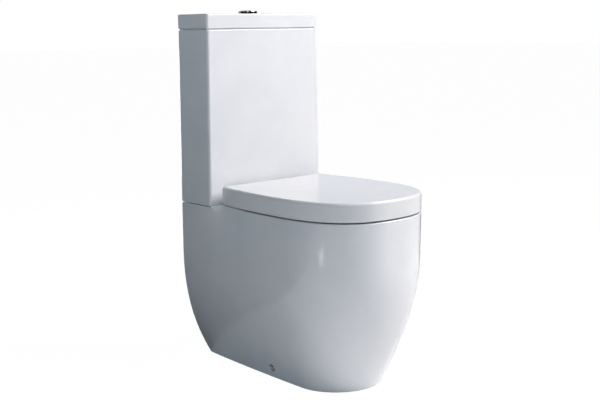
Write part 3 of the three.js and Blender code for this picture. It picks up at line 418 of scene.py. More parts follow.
def pan_outline(z, rear_y=WALL_Y):
    height = clamp(z / PAN_TOP)
    mid_y = lerp(PAN_MID_Y_FLOOR, PAN_MID_Y, height)
    mid_half = flared(z, PAN_MID_HALF, PAN_MID_HALF_FLOOR)
    beyond = rear_y > WALL_Y
    return plan_outline(
        side_half=lambda y: pan_side_half(y, z, mid_y, mid_half),
        stations=spread(REAR_STATION_Y, TANK_FRONT_Y + 6 * MM, 7)
        + spread(TANK_FRONT_Y, LID_REAR_Y - LID_REAR_RADIUS, 9)
        + spread(LID_SIDE_START_Y, mid_y + MID_MARGIN, 16),
        rear_y=rear_y,
        rear_radius=PAN_WALL + 2 * MM if beyond else PAN_REAR_RADIUS * max(0.3, height),
        mid_y=mid_y,
        mid_half=mid_half,
        front_y=flared(z, FRONT_Y, PAN_FRONT_Y_FLOOR),
        power=lerp(PAN_FRONT_POWER_FLOOR, PAN_FRONT_POWER, height),
    )


def pan_skin(top):
    """The pan's outside, up to a flat top with a rounded edge."""
    edge_z = top - PAN_EDGE_RADIUS
    rings = []
    for share in (1, 0.3):
        foot = at_height(inset(pan_outline(0), PAN_FOOT_RADIUS * share), PAN_FOOT_RADIUS * (1 - share))
        rings.append(foot)
    for z in spread(PAN_FOOT_RADIUS, SHOULDER_START_Z, 22) + spread(SHOULDER_START_Z, edge_z, 16)[1:]:
        rings.append(at_height(pan_outline(z), z))
    for angle in spread(0, math.pi / 2, 7)[1:]:
        inwards = PAN_EDGE_RADIUS * (1 - math.cos(angle))
        z = edge_z + PAN_EDGE_RADIUS * math.sin(angle)
        rings.append(at_height(inset(pan_outline(edge_z), inwards), z))
    return loft("pan_china", rings)


def above_shelf():
    """What is cut away over the cistern's shelf, leaving the shelf a rounded outer edge."""
    front = TANK_FRONT_Y - SHELF_CLEARANCE
    start_z = SHELF_Z - PAN_EDGE_RADIUS + HAIR
    across = (-PAN_REAR_HALF - PAST, PAN_REAR_HALF + PAST)
    space = block("space", across, (front, WALL_Y + PAST), (start_z, PAN_TOP + PAST))
    return cut(space, pan_skin(SHELF_Z))


def pan_hollow():
    """The space inside the skirt, open to the floor and to the wall."""
    beyond_wall = WALL_Y + PAN_WALL + 6 * MM
    levels = [HOLLOW_LOW] + spread(HOLLOW_START, PAN_TOP - DECK_THICKNESS, 16)
    return loft("hollow", [at_height(inset(pan_outline(z, beyond_wall), PAN_WALL), z) for z in levels])


def bowl_ring(depth_share, extra):
    share = depth_share ** BOWL_CURVE
    shape = {key: lerp(RIM[key], SUMP[key], share) for key in RIM}
    return oval(shape, BOWL_POWER, 96, extra)


def bowl(extra, first_share):
    """The bowl's shape, grown outwards by the extra, from a share of its depth down."""
    rings = []
    for share in spread(first_share, 0.95, 30):
        rings.append(at_height(bowl_ring(share, extra), PAN_TOP - share * BOWL_DEPTH))
    for share, drawn_in in BOWL_FLOOR:
        bottom = inset(bowl_ring(share, extra), drawn_in)
        rings.append(at_height(bottom, PAN_TOP - share * BOWL_DEPTH - extra))
    return loft("bowl", rings[::-1])


def rim_mouth():
    """Opening at the rim, with a rounded upper edge."""
    outline = bowl_ring(0, 0)
    rings = [at_height(inset(outline, RIM_LIP), PAN_TOP - MOUTH_DEPTH)]
    for angle in spread(0, math.pi / 2, 7):
        outwards = RIM_ROUNDING * (1 - math.cos(angle))
        z = PAN_TOP - RIM_ROUNDING * (1 - math.sin(angle))
        rings.append(at_height(inset(outline, RIM_LIP - outwards), z))
    rings.append(at_height(inset(outline, RIM_LIP - RIM_ROUNDING), PAN_TOP + PAST))
    return loft("mouth", rings)


def arc(centre, radius, start, stop, count):
    """Points (y, z) and directions along an arc in the middle plane, angles in degrees."""
    turn = 1 if stop > start else -1
    points = []
    for angle in spread(math.radians(start), math.radians(stop), count):
        place = (centre[0] + radius * math.cos(angle), centre[1] + radius * math.sin(angle))
        points.append((place, (-turn * math.sin(angle), turn * math.cos(angle))))
    return points


def trap(name, radius, end_y):
    """Pipe from the sump, over the weir and down to the outlet."""
    arc_z = TRAP_WEIR_Z - TRAP_WEIR_RADIUS
    fall_y = TRAP_RISE_Y + 2 * TRAP_WEIR_RADIUS
    rise = (TRAP_RISE_Y - TRAP_RISE_RADIUS, TRAP_SUMP_Z + TRAP_RISE_RADIUS)
    weir = (TRAP_RISE_Y + TRAP_WEIR_RADIUS, arc_z)
    fall = (fall_y + TRAP_FALL_RADIUS, OUTLET_Z + TRAP_FALL_RADIUS)
    line = [((TRAP_START_Y, TRAP_SUMP_Z), (1, 0))]
    line += arc(rise, TRAP_RISE_RADIUS, -90, 0, 12)
    line += arc(weir, TRAP_WEIR_RADIUS, 180, 0, 22)
    line += arc(fall, TRAP_FALL_RADIUS, 180, 270, 12)[1:]
    line.append(((end_y, OUTLET_Z), (1, 0)))
    rings = []
    for (y, z), (along_y, along_z) in line:
        ring = []
        for i in range(PIPE_FACETS):
            angle = 2 * math.pi * i / PIPE_FACETS
            out = radius * math.sin(angle)
            ring.append((radius * math.cos(angle), y - out * along_z, z + out * along_y))
        rings.append(ring)
    return loft(name, rings)


def flushway(extra, top):
    return block(
        "flushway",
        (-FLUSHWAY_HALF - extra, FLUSHWAY_HALF + extra),
        (FLUSHWAY_Y[0] + extra, FLUSHWAY_Y[1] + extra),
        (FLUSHWAY_BOTTOM - extra, top),
    )


def build_pan():
    deck_underside = PAN_TOP - DECK_THICKNESS
    low, high = deck_underside - PAST, PAN_TOP + PAST
    pan = cut(pan_skin(PAN_TOP), pan_hollow(), above_shelf())
    join(
        pan,
        bowl(extra=BOWL_WALL, first_share=0.03),
        trap("trap_wall", TRAP_RADIUS + TRAP_WALL, TRAP_WALL_END_Y),
        rod("spigot", SPIGOT_RADIUS, OUTLET_START_Y, OUTLET_END_Y, (0, 0, OUTLET_Z), "Y", 64),
        flushway(FLUSHWAY_WALL, deck_underside + OVERLAP),
    )
    holes = []
    for side, _ in SIDES:
        holes.append(rod("hole", COUPLING_HOLE_RADIUS, low, high, (side * COUPLING_X, VALVE_Y, 0)))
        holes.append(rod("hole", SEAT_BOLT_HOLE_RADIUS, low, high, (side * HINGE_X, HINGE_Y, 0)))
        span = side_span(side, *SIDE_HOLE_REACH)
        holes.append(rod("hole", CAP_RADIUS + CAP_CLEARANCE, *span, (0, FIXING_Y, FIXING_Z), "X"))
    cut(
        pan,
        bowl(extra=0, first_share=0.055),
        rim_mouth(),
        trap("trap_bore", TRAP_RADIUS, OUTLET_END_Y + PAST),
        flushway(0, deck_underside + OVERLAP),
        rod("hole", FLUSH_HOLE_RADIUS, low, high, (0, VALVE_Y, 0), facets=64),
        rod("hole", PAN_FILL_HOLE_RADIUS, low, high, (FILL_X, VALVE_Y, 0)),
        *holes,
    )
    return smooth(pan)


# ---------- cistern ----------

def cistern_outline(half, shrink):
    """Rectangle with rounded corners, moved inwards by shrink all round."""
    shape = []
    corners = (
        (half, WALL_Y, TANK_REAR_RADIUS, 0),
        (-half, WALL_Y, TANK_REAR_RADIUS, 1),
        (-half, TANK_FRONT_Y, TANK_FRONT_RADIUS, 2),
        (half, TANK_FRONT_Y, TANK_FRONT_RADIUS, 3),
    )
    for x, y, full_radius, quarter in corners:
        radius = max(1.5 * MM, full_radius - shrink)
        centre_x = x - math.copysign(shrink + radius, x)
        centre_y = y - math.copysign(shrink + radius, y - VALVE_Y)
        for step in spread(0, 1, CORNER_STEPS):
            angle = (quarter + step) * math.pi / 2
            shape.append((centre_x + radius * math.cos(angle), centre_y + radius * math.sin(angle)))
    return shape


def rolled(ring, z, radius, upwards):
    """Rings that round an edge over, from full size to the flat face at height z."""
    rings = []
    for angle in spread(0, math.pi / 2, 6):
        height = z - upwards * radius * (1 - math.sin(angle))
        rings.append(ring(height, radius * (1 - math.cos(angle))))
    return rings


def tank_ring(z, shrink):
    rise = (z - TANK_BOTTOM) / (TANK_TOP - TANK_BOTTOM)
    return at_height(cistern_outline(lerp(TANK_HALF_BOTTOM, TANK_HALF_TOP, rise), shrink), z)


def build_tank():
    bottom = rolled(tank_ring, TANK_BOTTOM, TANK_FOOT_RADIUS, -1)[::-1]
    top = rolled(tank_ring, TANK_TOP, TANK_RIM_RADIUS, 1)
    tank = loft("cistern_china", bottom + top)
    inside = loft("inside", [tank_ring(TANK_FLOOR, TANK_WALL), tank_ring(TANK_TOP + PAST, TANK_WALL)])
    low, high = TANK_BOTTOM - PAST, TANK_FLOOR + PAST
    holes = [
        rod("hole", TANK_VALVE_HOLE_RADIUS, low, high, (0, VALVE_Y, 0), facets=48),
        rod("hole", TANK_FILL_HOLE_RADIUS, low, high, (FILL_X, VALVE_Y, 0)),
    ]
    for side, _ in SIDES:
        holes.append(rod("hole", COUPLING_HOLE_RADIUS, low, high, (side * COUPLING_X, VALVE_Y, 0)))
    cut(tank, inside, *holes)
    return smooth(tank)


def build_cover():
    def ring(z, shrink):
        return at_height(cistern_outline(COVER_HALF, shrink), z)

    lip_inset = TANK_WALL + 2 * MM
    lip_bottom = TANK_TOP - 12 * MM
    cavity_inset = lip_inset + 5 * MM
    bottom = rolled(ring, COVER_BOTTOM, COVER_FOOT_RADIUS, -1)[::-1]
    cover = loft("cistern_lid_china", bottom + rolled(ring, COVER_TOP, COVER_EDGE_RADIUS, 1))
    support_inset = 4 * MM
    root = COVER_BOTTOM + OVERLAP
    support = loft("support", [ring(TANK_TOP + GAP, support_inset), ring(root, support_inset)])
    lip = loft("lip", [ring(lip_bottom, lip_inset), ring(root, lip_inset)])
    join(cover, support, lip)
    cavity_top = COVER_TOP - COVER_THICKNESS
    cavity = loft("cavity", [ring(lip_bottom - PAST, cavity_inset), ring(cavity_top, cavity_inset)])
    hole = rod("hole", COVER_HOLE_RADIUS, COVER_BOTTOM, COVER_TOP + PAST, (0, VALVE_Y, 0), facets=48)
    cut(cover, cavity, hole)
    return smooth(cover)


# ---------- seat and lid ----------

def lid_outline():
    return plan_outline(
        side_half=lid_half,
        stations=spread(LID_SIDE_START_Y, PAN_MID_Y + MID_MARGIN, 18),
        rear_y=LID_REAR_Y,
        rear_radius=LID_REAR_RADIUS,
        mid_y=PAN_MID_Y,
        mid_half=PAN_MID_HALF,
        front_y=FRONT_Y,
        power=PAN_FRONT_POWER,
    )


def build_lid():
    outline = lid_outline()

    def ring(z, shrink):
        return at_height(inset(outline, shrink), z)

    inner_top = LID_TOP - LID_SKIN
    bottom = rolled(ring, LID_BOTTOM + LID_SHADOW_GAP, LID_FOOT_RADIUS, -1)[::-1]
    lid = loft("toilet_lid_shell", bottom + rolled(ring, LID_TOP, LID_EDGE_RADIUS, 1))
    inner = rolled(lambda z, shrink: ring(z, LID_SKIN + shrink), inner_top, LID_INNER_RADIUS, 1)
    low = LID_BOTTOM - PAST
    cut(lid, loft("hollow", [ring(low, LID_SKIN)] + inner))
    behind = (LID_REAR_Y - LID_SKIN - 1 * MM, LID_REAR_Y + PAST)
    relief_half = LID_REAR_HALF - LID_SKIN
    openings = [block("relief", (-relief_half, relief_half), behind, (low, LID_REAR_LIP_Z))]
    ear_depth = (HINGE_Y - EAR_RADIUS, HINGE_Y + EAR_RADIUS)
    for side, _ in SIDES:
        ear_span = side_span(side, HINGE_X + EAR_NEAR, HINGE_X + EAR_FAR)
        join(lid, rod("ear", EAR_RADIUS, *ear_span, (0, HINGE_Y, HINGE_Z), "X"))
        join(lid, block("ear", ear_span, ear_depth, (HINGE_Z, inner_top + 1 * MM)))
        notch = side_span(side, HINGE_X - NOTCH_HALF, HINGE_X + NOTCH_HALF)
        openings.append(block("notch", notch, behind, (low, inner_top)))
        bore = side_span(side, HINGE_X, HINGE_X + BORE_LENGTH)
        openings.append(rod("bore", PIN_BORE_RADIUS, *bore, (0, HINGE_Y, HINGE_Z), "X"))
    cut(lid, *openings)
    return smooth(lid)


def on_seat_hole(x, y):
    """The point of the seat's oval hole in line with its centre and the given outer point."""
    along = y - SEAT_HOLE["centre"]
    reach = SEAT_HOLE["rear"] if along > 0 else SEAT_HOLE["front"]
    size = abs(x / SEAT_HOLE["half"]) ** BOWL_POWER + abs(along / reach) ** BOWL_POWER
    size = size ** (1 / BOWL_POWER)
    return x / size, SEAT_HOLE["centre"] + along / size


def seat_section():
    """(share of the way from the outer edge to the hole, height) round the seat's section."""
    section = [(0, SEAT_BOTTOM + 1 * MM), (0, SEAT_TOP - 6 * MM)]
    section += [(0.008, SEAT_TOP - 4 * MM), (0.025, SEAT_TOP - 2 * MM), (0.055, SEAT_TOP - 0.8 * MM)]
    for share in spread(0.12, 1, 12):
        fall = smoothstep(share, 0.3, 1.0) ** 1.4
        section.append((share, SEAT_TOP - 0.3 * MM - SEAT_FALL * fall))
    section += [(1, SEAT_BOTTOM + 1.2 * MM), (0.985, SEAT_BOTTOM), (0.012, SEAT_BOTTOM)]
    return section


def build_seat():
    outline = plan_outline(
        side_half=lambda y: lid_half(y) - SEAT_INSET,
        stations=spread(SEAT_REAR_Y - 30 * MM, PAN_MID_Y + MID_MARGIN, 16),
        rear_y=SEAT_REAR_Y,
        rear_radius=SEAT_REAR_RADIUS,
        mid_y=PAN_MID_Y,
        mid_half=PAN_MID_HALF - SEAT_INSET,
        front_y=FRONT_Y + SEAT_INSET,
        power=PAN_FRONT_POWER,
    )
    section = seat_section()
    count = len(section)
    points = []
    for x, y in outline:
        hole_x, hole_y = on_seat_hole(x, y)
        points += [(lerp(x, hole_x, share), lerp(y, hole_y, share), z) for share, z in section]
    faces = []
    for i in range(len(outline)):
        here = i * count
        ahead = (i + 1) % len(outline) * count
        for j in range(count):
            beside = (j + 1) % count
            faces.append((here + j, here + beside, ahead + beside, ahead + j))
    seat = mesh_object("seat_shell", points, faces)
    seat.data.flip_normals()
    bores = []
    for side, _ in SIDES:
        span = side_span(side, HINGE_X - EAR_FAR, HINGE_X - EAR_NEAR)
        join(seat, rod("ear", EAR_RADIUS, *span, (0, HINGE_Y, HINGE_Z), "X"))
        join(seat, block("ear", span, (SEAT_REAR_Y - 12 * MM, HINGE_Y), (SEAT_TOP - 16 * MM, HINGE_Z)))
        bore = side_span(side, HINGE_X - BORE_LENGTH, HINGE_X)
        bores.append(rod("bore", PIN_BORE_RADIUS, *bore, (0, HINGE_Y, HINGE_Z), "X"))
    cut(seat, *bores)
    return smooth(seat)


def build_buffer(node):
    """Soft foot with a rounded lower edge, in the place of a CAD node."""
    low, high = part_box(node)
    radius = (high[0] - low[0]) / 2
    height = high[2] - low[2]
    edge = 2.5 * MM
    corners = [(0, 0)]
    for angle in spread(0, math.pi / 2, 6):
        corners.append((radius - edge + edge * math.sin(angle), edge - edge * math.cos(angle)))
    corners += [(radius, height), (0, height)]
    centre = ((low[0] + high[0]) / 2, (low[1] + high[1]) / 2, low[2])
    return smooth(turned(node + "_foot", corners, 40, centre))


def build_post(side, hand):
    """Hinge post: a flanged foot and an upright with a round head."""
    half_width, half_depth = 9 * MM, 8.5 * MM
    foot_radius = (POST_HIGH[0] - POST_LOW[0]) / 2
    x = side * HINGE_X
    foot = PAN_TOP + GAP
    foot_middle, foot_top = PAN_TOP + 2 * MM, PAN_TOP + 4 * MM
    corners = [(0, foot), (foot_radius - 0.4 * MM, foot), (foot_radius, foot + 0.4 * MM)]
    corners += rounded_top(foot_radius, 1.4 * MM, foot_top)
    corners.append((0, foot_top))
    post = turned("hinge_post_body_" + hand, corners, 48, (x, HINGE_Y, 0))
    span = (x - half_width, x + half_width)
    bevel = 0.8 * MM
    head = [(0, span[0]), (half_depth - bevel, span[0]), (half_depth, span[0] + bevel)]
    head += [(half_depth, span[1] - bevel), (half_depth - bevel, span[1]), (0, span[1])]
    join(
        post,
        turned("head", head, 48, (0, HINGE_Y, HINGE_Z), "X"),
        block("upright", span, (HINGE_Y - half_depth, HINGE_Y + half_depth), (foot_middle, HINGE_Z)),
    )
    through = (span[0] - PAST, span[1] + PAST)
    stud = (PAN_TOP - PAST, PAN_TOP + STUD_BORE_DEPTH)
    cut(
        post,
        rod("bore", POST_BORE_RADIUS, *through, (0, HINGE_Y, HINGE_Z), "X"),
        rod("stud_bore", STUD_BORE_RADIUS, *stud, (x, HINGE_Y, 0)),
    )
    return smooth(post)


# ---------- push button and caps ----------

def rounded_top(radius, edge, top, steps=6):
    """(radius, height) corners of a rounded outer top edge."""
    corners = []
    for angle in spread(0, math.pi / 2, steps):
        corners.append((radius - edge * (1 - math.cos(angle)), top - edge * (1 - math.sin(angle))))
    return corners


def build_bezel():
    """Chrome ring on a barrel whose floor the two push rods go through."""
    floor_top = BEZEL_LOW[2] + 2.5 * MM
    bore, barrel = BUTTON_BORE_RADIUS, BEZEL_BARREL_RADIUS
    radius = (BEZEL_HIGH[0] - BEZEL_LOW[0]) / 2
    top = BEZEL_HIGH[2]
    ring_foot = COVER_TOP + GAP
    corners = [(0, BEZEL_LOW[2]), (barrel, BEZEL_LOW[2]), (barrel, ring_foot)]
    corners += [(radius - 0.5 * MM, ring_foot), (radius, ring_foot + 0.5 * MM)]
    corners += rounded_top(radius, 1.8 * MM, top)
    corners += [(bore + 1 * MM, top), (bore + 0.3 * MM, top - 0.25 * MM), (bore, top - 1 * MM)]
    corners += [(bore, floor_top), (0, floor_top)]
    bezel = turned("button_bezel_ring", corners, 96, (0, VALVE_Y, 0))
    through = (BEZEL_LOW[2] - PAST, floor_top + PAST)
    cut(bezel, *[rod("hole", PUSH_ROD_HOLE_RADIUS, *through, (x, VALVE_Y, 0)) for x in PUSH_ROD_X])
    return smooth(bezel)


def build_button(side, name):
    """One part of the round button, cut off beside the split, with softened edges."""
    radius = BUTTON_RADIUS
    low, high = BUTTON_LOW[2], BUTTON_HIGH[2]
    corners = [(0, low), (radius - 0.4 * MM, low), (radius, low + 0.4 * MM)]
    corners += rounded_top(radius, 1.2 * MM, high - 0.3 * MM)
    corners += [(10 * MM, high - 0.1 * MM), (0, high)]
    button = turned("button_cap_" + name, corners, 96, (0, VALVE_Y, 0))
    split = BUTTON_SPLIT_X + side * GAP
    away = (split, 2 * radius) if side < 0 else (-2 * radius, split)
    along = (VALVE_Y - 2 * radius, VALVE_Y + 2 * radius)
    cut(button, block("away", away, along, (low - PAST, high + PAST)))
    edge = button.modifiers.new("edge", "BEVEL")
    edge.width = 0.5 * MM
    edge.segments = 3
    edge.angle_limit = math.radians(60)
    settle(button)
    return smooth(button, 40)


def build_side_cap(side, hand):
    """Domed cap that stands on a flange sunk in its hole."""
    foot, tip = CAP_LOW[0], CAP_HIGH[0]
    dome = 3.5 * MM
    corners = [(0, foot), (CAP_RADIUS, foot), (CAP_RADIUS, foot + 0.6 * MM)]
    corners += [(CAP_RADIUS - 0.4 * MM, foot + 1 * MM), (CAP_DOME_RADIUS, foot + 1.4 * MM)]
    for angle in spread(0, math.pi / 2, 9)[:-1]:
        bulge = math.cos(angle) ** 0.7
        corners.append((CAP_DOME_RADIUS * bulge, tip - dome * (1 - math.sin(angle))))
    corners.append((0, tip))
    if side < 0:
        corners = [(r, -height) for r, height in corners]
    cap = turned("side_cap_dome_" + hand, corners, 48, (0, FIXING_Y, FIXING_Z), "X")
    if side < 0:
        cap.data.flip_normals()
    return smooth(cap)


# ---------- materials ----------

class Shader:
    """A material under construction: its node tree, its surface shader and object coordinates."""

    def __init__(self, name):
        self.material = bpy.data.materials.new(name)
        self.material.use_nodes = True
        self.tree = self.material.node_tree
        self.surface = self.tree.nodes["Principled BSDF"]
        self.place = self.node("ShaderNodeTexCoord").outputs["Object"]

    def node(self, kind):
        return self.tree.nodes.new(kind)

    def link(self, source, target):
        self.tree.links.new(source, target)

    def set(self, **values):
        for name, value in values.items():
            self.surface.inputs[name.replace("_", " ")].default_value = value

    def noise(self, size, detail=2.0, stretch=None):
        """Soft random pattern whose features are about the given size in metres."""
        noise = self.node("ShaderNodeTexNoise")
        noise.inputs["Scale"].default_value = 1 / size
        noise.inputs["Detail"].default_value = detail
        if stretch:
            mapping = self.node("ShaderNodeMapping")
            mapping.inputs["Scale"].default_value = stretch
            self.link(self.place, mapping.inputs["Vector"])
            self.link(mapping.outputs["Vector"], noise.inputs["Vector"])
        else:
            self.link(self.place, noise.inputs["Vector"])
        return noise.outputs["Fac"]

    def cells(self, size):
        cells = self.node("ShaderNodeTexVoronoi")
        cells.inputs["Scale"].default_value = 1 / size
        self.link(self.place, cells.inputs["Vector"])
        return cells.outputs["Distance"]

    def spread_over(self, value, low, high, start=0.3, stop=0.7):
        """Maps a pattern's middle range onto low to high."""
        ranged = self.node("ShaderNodeMapRange")
        ranged.inputs["From Min"].default_value = start
        ranged.inputs["From Max"].default_value = stop
        ranged.inputs["To Min"].default_value = low
        ranged.inputs["To Max"].default_value = high
        self.link(value, ranged.inputs["Value"])
        return ranged.outputs["Result"]

    def colours(self, value, stops):
        ramp = self.node("ShaderNodeValToRGB")
        elements = ramp.color_ramp.elements
        while len(elements) < len(stops):
            elements.new(0.5)
        for element, (position, colour) in zip(elements, stops):
            element.position = position
            element.color = (*colour, 1.0)
        self.link(value, ramp.inputs["Fac"])
        return ramp.outputs["Color"]

    def blend(self, share, first, second):
        mix = self.node("ShaderNodeMix")
        mix.data_type = "RGBA"
        self.link(share, mix.inputs["Factor"])
        self.link(first, mix.inputs["A"])
        self.link(second, mix.inputs["B"])
        return mix.outputs["Result"]

    def bump(self, height, strength, distance, under=None):
        bump = self.node("ShaderNodeBump")
        bump.inputs["Strength"].default_value = strength
        bump.inputs["Distance"].default_value = distance
        self.link(height, bump.inputs["Height"])
        if under:
            self.link(under, bump.inputs["Normal"])
        return bump.outputs["Normal"]

    def finish(self, colour, roughness, normal):
        self.link(colour, self.surface.inputs["Base Color"])
        self.link(roughness, self.surface.inputs["Roughness"])
        self.link(normal, self.surface.inputs["Normal"])
        return self.material


def glazed_ceramic():
    """White vitreous china: cloudy body, clear gloss glaze with a slow ripple and a few pinholes."""
    s = Shader("glazed_ceramic")
    clouds = s.colours(s.noise(0.09, 3), [(0.35, (0.80, 0.815, 0.835)), (0.65, (0.835, 0.845, 0.86))])
    specks = s.colours(s.cells(0.011), [(0.02, (0.66, 0.65, 0.62)), (0.035, (0.83, 0.84, 0.855))])
    rare = s.spread_over(s.noise(0.03, 0), 0, 0.5, 0.66, 0.74)
    colour = s.blend(rare, clouds, specks)
    roughness = s.spread_over(s.noise(0.05, 4), 0.07, 0.13)
    ripple = s.bump(s.noise(0.07, 1), 0.25, 0.0016)
    peel = s.bump(s.noise(0.0035, 2), 0.03, 0.0002, ripple)
    s.set(IOR=1.52, Coat_Weight=0.6, Coat_Roughness=0.04)
    return s.finish(colour, roughness, peel)


def seat_plastic():
    """Gloss white thermoset: a little warmer and smoother than the china, with fine wiping marks."""
    s = Shader("seat_plastic")
    colour = s.colours(s.noise(0.12, 2), [(0.35, (0.815, 0.82, 0.83)), (0.65, (0.84, 0.845, 0.853))])
    wiped = s.noise(0.02, 4, (1.0, 0.12, 1.0))
    roughness = s.spread_over(wiped, 0.165, 0.19)
    flow = s.bump(s.noise(0.15, 0), 0.12, 0.001)
    grain = s.bump(s.noise(0.0012, 2), 0.03, 0.0001, flow)
    s.set(IOR=1.49)
    return s.finish(colour, roughness, grain)


def chrome():
    """Polished plating over a slightly uneven casting, with smudges."""
    s = Shader("chrome")
    colour = s.colours(s.noise(0.02, 3), [(0.3, (0.70, 0.72, 0.75)), (0.7, (0.82, 0.83, 0.85))])
    roughness = s.spread_over(s.noise(0.006, 4), 0.04, 0.14)
    uneven = s.bump(s.noise(0.012, 1), 0.12, 0.0003)
    s.set(Metallic=1.0)
    return s.finish(colour, roughness, uneven)


def chrome_with_painted_shade():
    """Chrome dome painted darker than the plain chrome as shade, on a flange whose ring is painted
    near-black as the shade in the recess round the cap.
    """
    s = Shader("chrome_with_painted_shade")
    across = s.node("ShaderNodeVectorMath")
    across.operation = "MULTIPLY"
    across.inputs[1].default_value = (0, 1, 1)
    s.link(s.place, across.inputs[0])
    radius = s.node("ShaderNodeVectorMath")
    radius.operation = "DISTANCE"
    radius.inputs[1].default_value = (0, FIXING_Y, FIXING_Z)
    s.link(across.outputs["Vector"], radius.inputs[0])
    # mask of the dome; the flange ring outside it gets near-black painted shade
    on_dome = s.spread_over(radius.outputs["Value"], 1, 0, CAP_DOME_RADIUS, CAP_DOME_RADIUS + 0.2 * MM)
    # darker copy of the chrome colour: painted shade on the cap's dome
    shade_darkened_plating = s.colours(s.noise(0.02, 3), [(0.3, (0.58, 0.60, 0.63)), (0.7, (0.70, 0.71, 0.73))])
    # this rubber colour is painted shade: near-black for the shaded recess round the dome
    rubber = s.colours(s.noise(0.002, 3), [(0.3, (0.006, 0.006, 0.007)), (0.7, (0.012, 0.012, 0.013))])
    s.link(on_dome, s.surface.inputs["Metallic"])
    s.set(Specular_IOR_Level=0.1)
    colour = s.blend(on_dome, rubber, shade_darkened_plating)
    roughness = s.spread_over(on_dome, 0.7, 0.08, 0, 1)
    return s.finish(colour, roughness, s.bump(s.noise(0.012, 1), 0.12, 0.0003))


def steel():
    """Bright zinc plate with a fine spangle and drawing lines."""
    s = Shader("steel")
    spangle = s.colours(s.cells(0.0035), [(0.1, (0.50, 0.51, 0.53)), (0.7, (0.68, 0.685, 0.70))])
    roughness = s.spread_over(s.noise(0.002, 5), 0.24, 0.46)
    lines = s.bump(s.noise(0.001, 3, (1.0, 1.0, 0.15)), 0.25, 0.0001)
    s.set(Metallic=1.0)
    return s.finish(spangle, roughness, lines)


def moulded(name, dark, light, roughness=(0.38, 0.52), grain_size=0.0011):
    """Moulded plastic or rubber: flow clouds, fine grain and uneven sheen."""
    s = Shader(name)
    colour = s.colours(s.noise(0.018, 3), [(0.32, dark), (0.68, light)])
    gloss = s.spread_over(s.noise(0.004, 4), *roughness)
    grain = s.bump(s.noise(grain_size, 3), 0.3, 0.00015)
    return s.finish(colour, gloss, grain)


def make_materials():
    return {
        "ceramic": glazed_ceramic(),
        "seat_plastic": seat_plastic(),
        "buffers": moulded("buffers", (0.60, 0.61, 0.61), (0.68, 0.69, 0.69), (0.6, 0.75)),
        "chrome": chrome(),
        "chrome_with_painted_shade": chrome_with_painted_shade(),
        "steel": steel(),
        "rubber": moulded("rubber", (0.018, 0.018, 0.02), (0.035, 0.035, 0.038), (0.7, 0.9)),
        "white_plastic": moulded("white_plastic", (0.68, 0.69, 0.68), (0.76, 0.765, 0.755)),
        "grey_plastic": moulded("grey_plastic", (0.22, 0.235, 0.255), (0.29, 0.305, 0.325)),
        "blue_plastic": moulded("blue_plastic", (0.025, 0.13, 0.34), (0.04, 0.19, 0.44)),
    }


# ---------- assembly ----------

def stand_in(piece, body, slot, material, *nodes):
    """The piece wears a material, rides on a body and shows in place of CAD nodes; the slot argument is
    not used.
    """
    piece.data.materials.clear()
    piece.data.materials.append(material)
    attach(piece, body)
    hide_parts(*nodes)


def dress(materials):
    """Detailed pieces for what shows, and a procedural finish on every carried-over node."""
    pieces = [
        (build_pan(), "toilet", "ceramic", "pan"),
        (build_tank(), "toilet", "ceramic", "cistern_tank"),
        (build_cover(), "cover", "ceramic", "cistern_lid"),
        (build_lid(), "lid", "seat_plastic", "toilet_lid"),
        (build_seat(), "seat", "seat_plastic", "seat_ring"),
        (build_bezel(), "cover", "chrome", "button_bezel"),
        (build_button(-1, "full"), "button_full", "chrome", "button_full"),
        (build_button(1, "half"), "button_half", "chrome", "button_half"),
    ]
    for side, hand in SIDES:
        pieces.append((build_side_cap(side, hand), "toilet", "chrome", "side_cap_" + hand))
        pieces.append((build_post(side, hand), "toilet", "chrome", "hinge_post_" + hand))
        for place in ("front", "rear"):
            node = "seat_buffer_" + place + "_" + hand
            pieces.append((build_buffer(node), "seat", "buffers", node))
        node = "lid_buffer_" + hand
        pieces.append((build_buffer(node), "lid", "buffers", node))
    for piece, body, slot, node in pieces:
        # side caps get the chrome with painted shade: darker dome and near-black painted-shade ring
        finish = "chrome_with_painted_shade" if node.startswith("side_cap") else slot
        stand_in(piece, body, slot, materials[finish], node)
    replaced = {node for *_, node in pieces}
    for subpart in frame["record"]["subparts"]:
        if subpart["node"] in replaced:
            continue
        node = frame["nodes"][subpart["node"]]
        for material_slot in node.material_slots:
            material_slot.material = materials[subpart["material_slot"]]


# ---------- stage ----------

CAMERA_PLACE = (-1.67158, -1.84176, 0.84194)
CAMERA_AZIMUTH = 41.61
CAMERA_PITCH = -9.46
CAMERA_ROLL = -0.85
CAMERA_LENS = 62.2
SENSOR_WIDTH = 36
STAGE_CENTRE = Vector((0, 0, 0.45))
BIG_BOX = (1.4, 1.4)
BOX_DISTANCE = 2.6
STRIP_AZIMUTH = -43
STRIP_HEIGHT = 0.125
STRIP_SHIFT = 0.14
GLOW_FALLOFF = 12
GLOW_RISE = 5
FLOOR_DROP = 0.2 * MM
FLOOR_REACH = 40
FLOOR_BRIGHTNESS = 0.985
BOUNCE_REACH = 6
WHITE = (1.0, 1.0, 1.0, 1.0)
PAPER = (0.93, 0.93, 0.93, 1.0)


def place_camera():
    """Camera at the front left, aimed by its heading, pitch and roll."""
    azimuth, pitch, roll = (math.radians(a) for a in (CAMERA_AZIMUTH, CAMERA_PITCH, CAMERA_ROLL))
    level = Vector((math.cos(azimuth), -math.sin(azimuth), 0))
    ahead = Vector((math.sin(azimuth), math.cos(azimuth), 0))
    forward = ahead * math.cos(pitch) + Vector((0, 0, math.sin(pitch)))
    upright = level.cross(forward)
    right = level * math.cos(roll) + upright * math.sin(roll)
    up = upright * math.cos(roll) - level * math.sin(roll)
    data = bpy.data.cameras.new("camera")
    data.lens = CAMERA_LENS
    data.sensor_width = SENSOR_WIDTH
    camera = bpy.data.objects.new("camera", data)
    turned_axes = Matrix((right, up, -forward)).transposed().to_4x4()
    camera.matrix_world = Matrix.Translation(CAMERA_PLACE) @ turned_axes
    bpy.context.scene.collection.objects.link(camera)
    bpy.context.scene.camera = camera


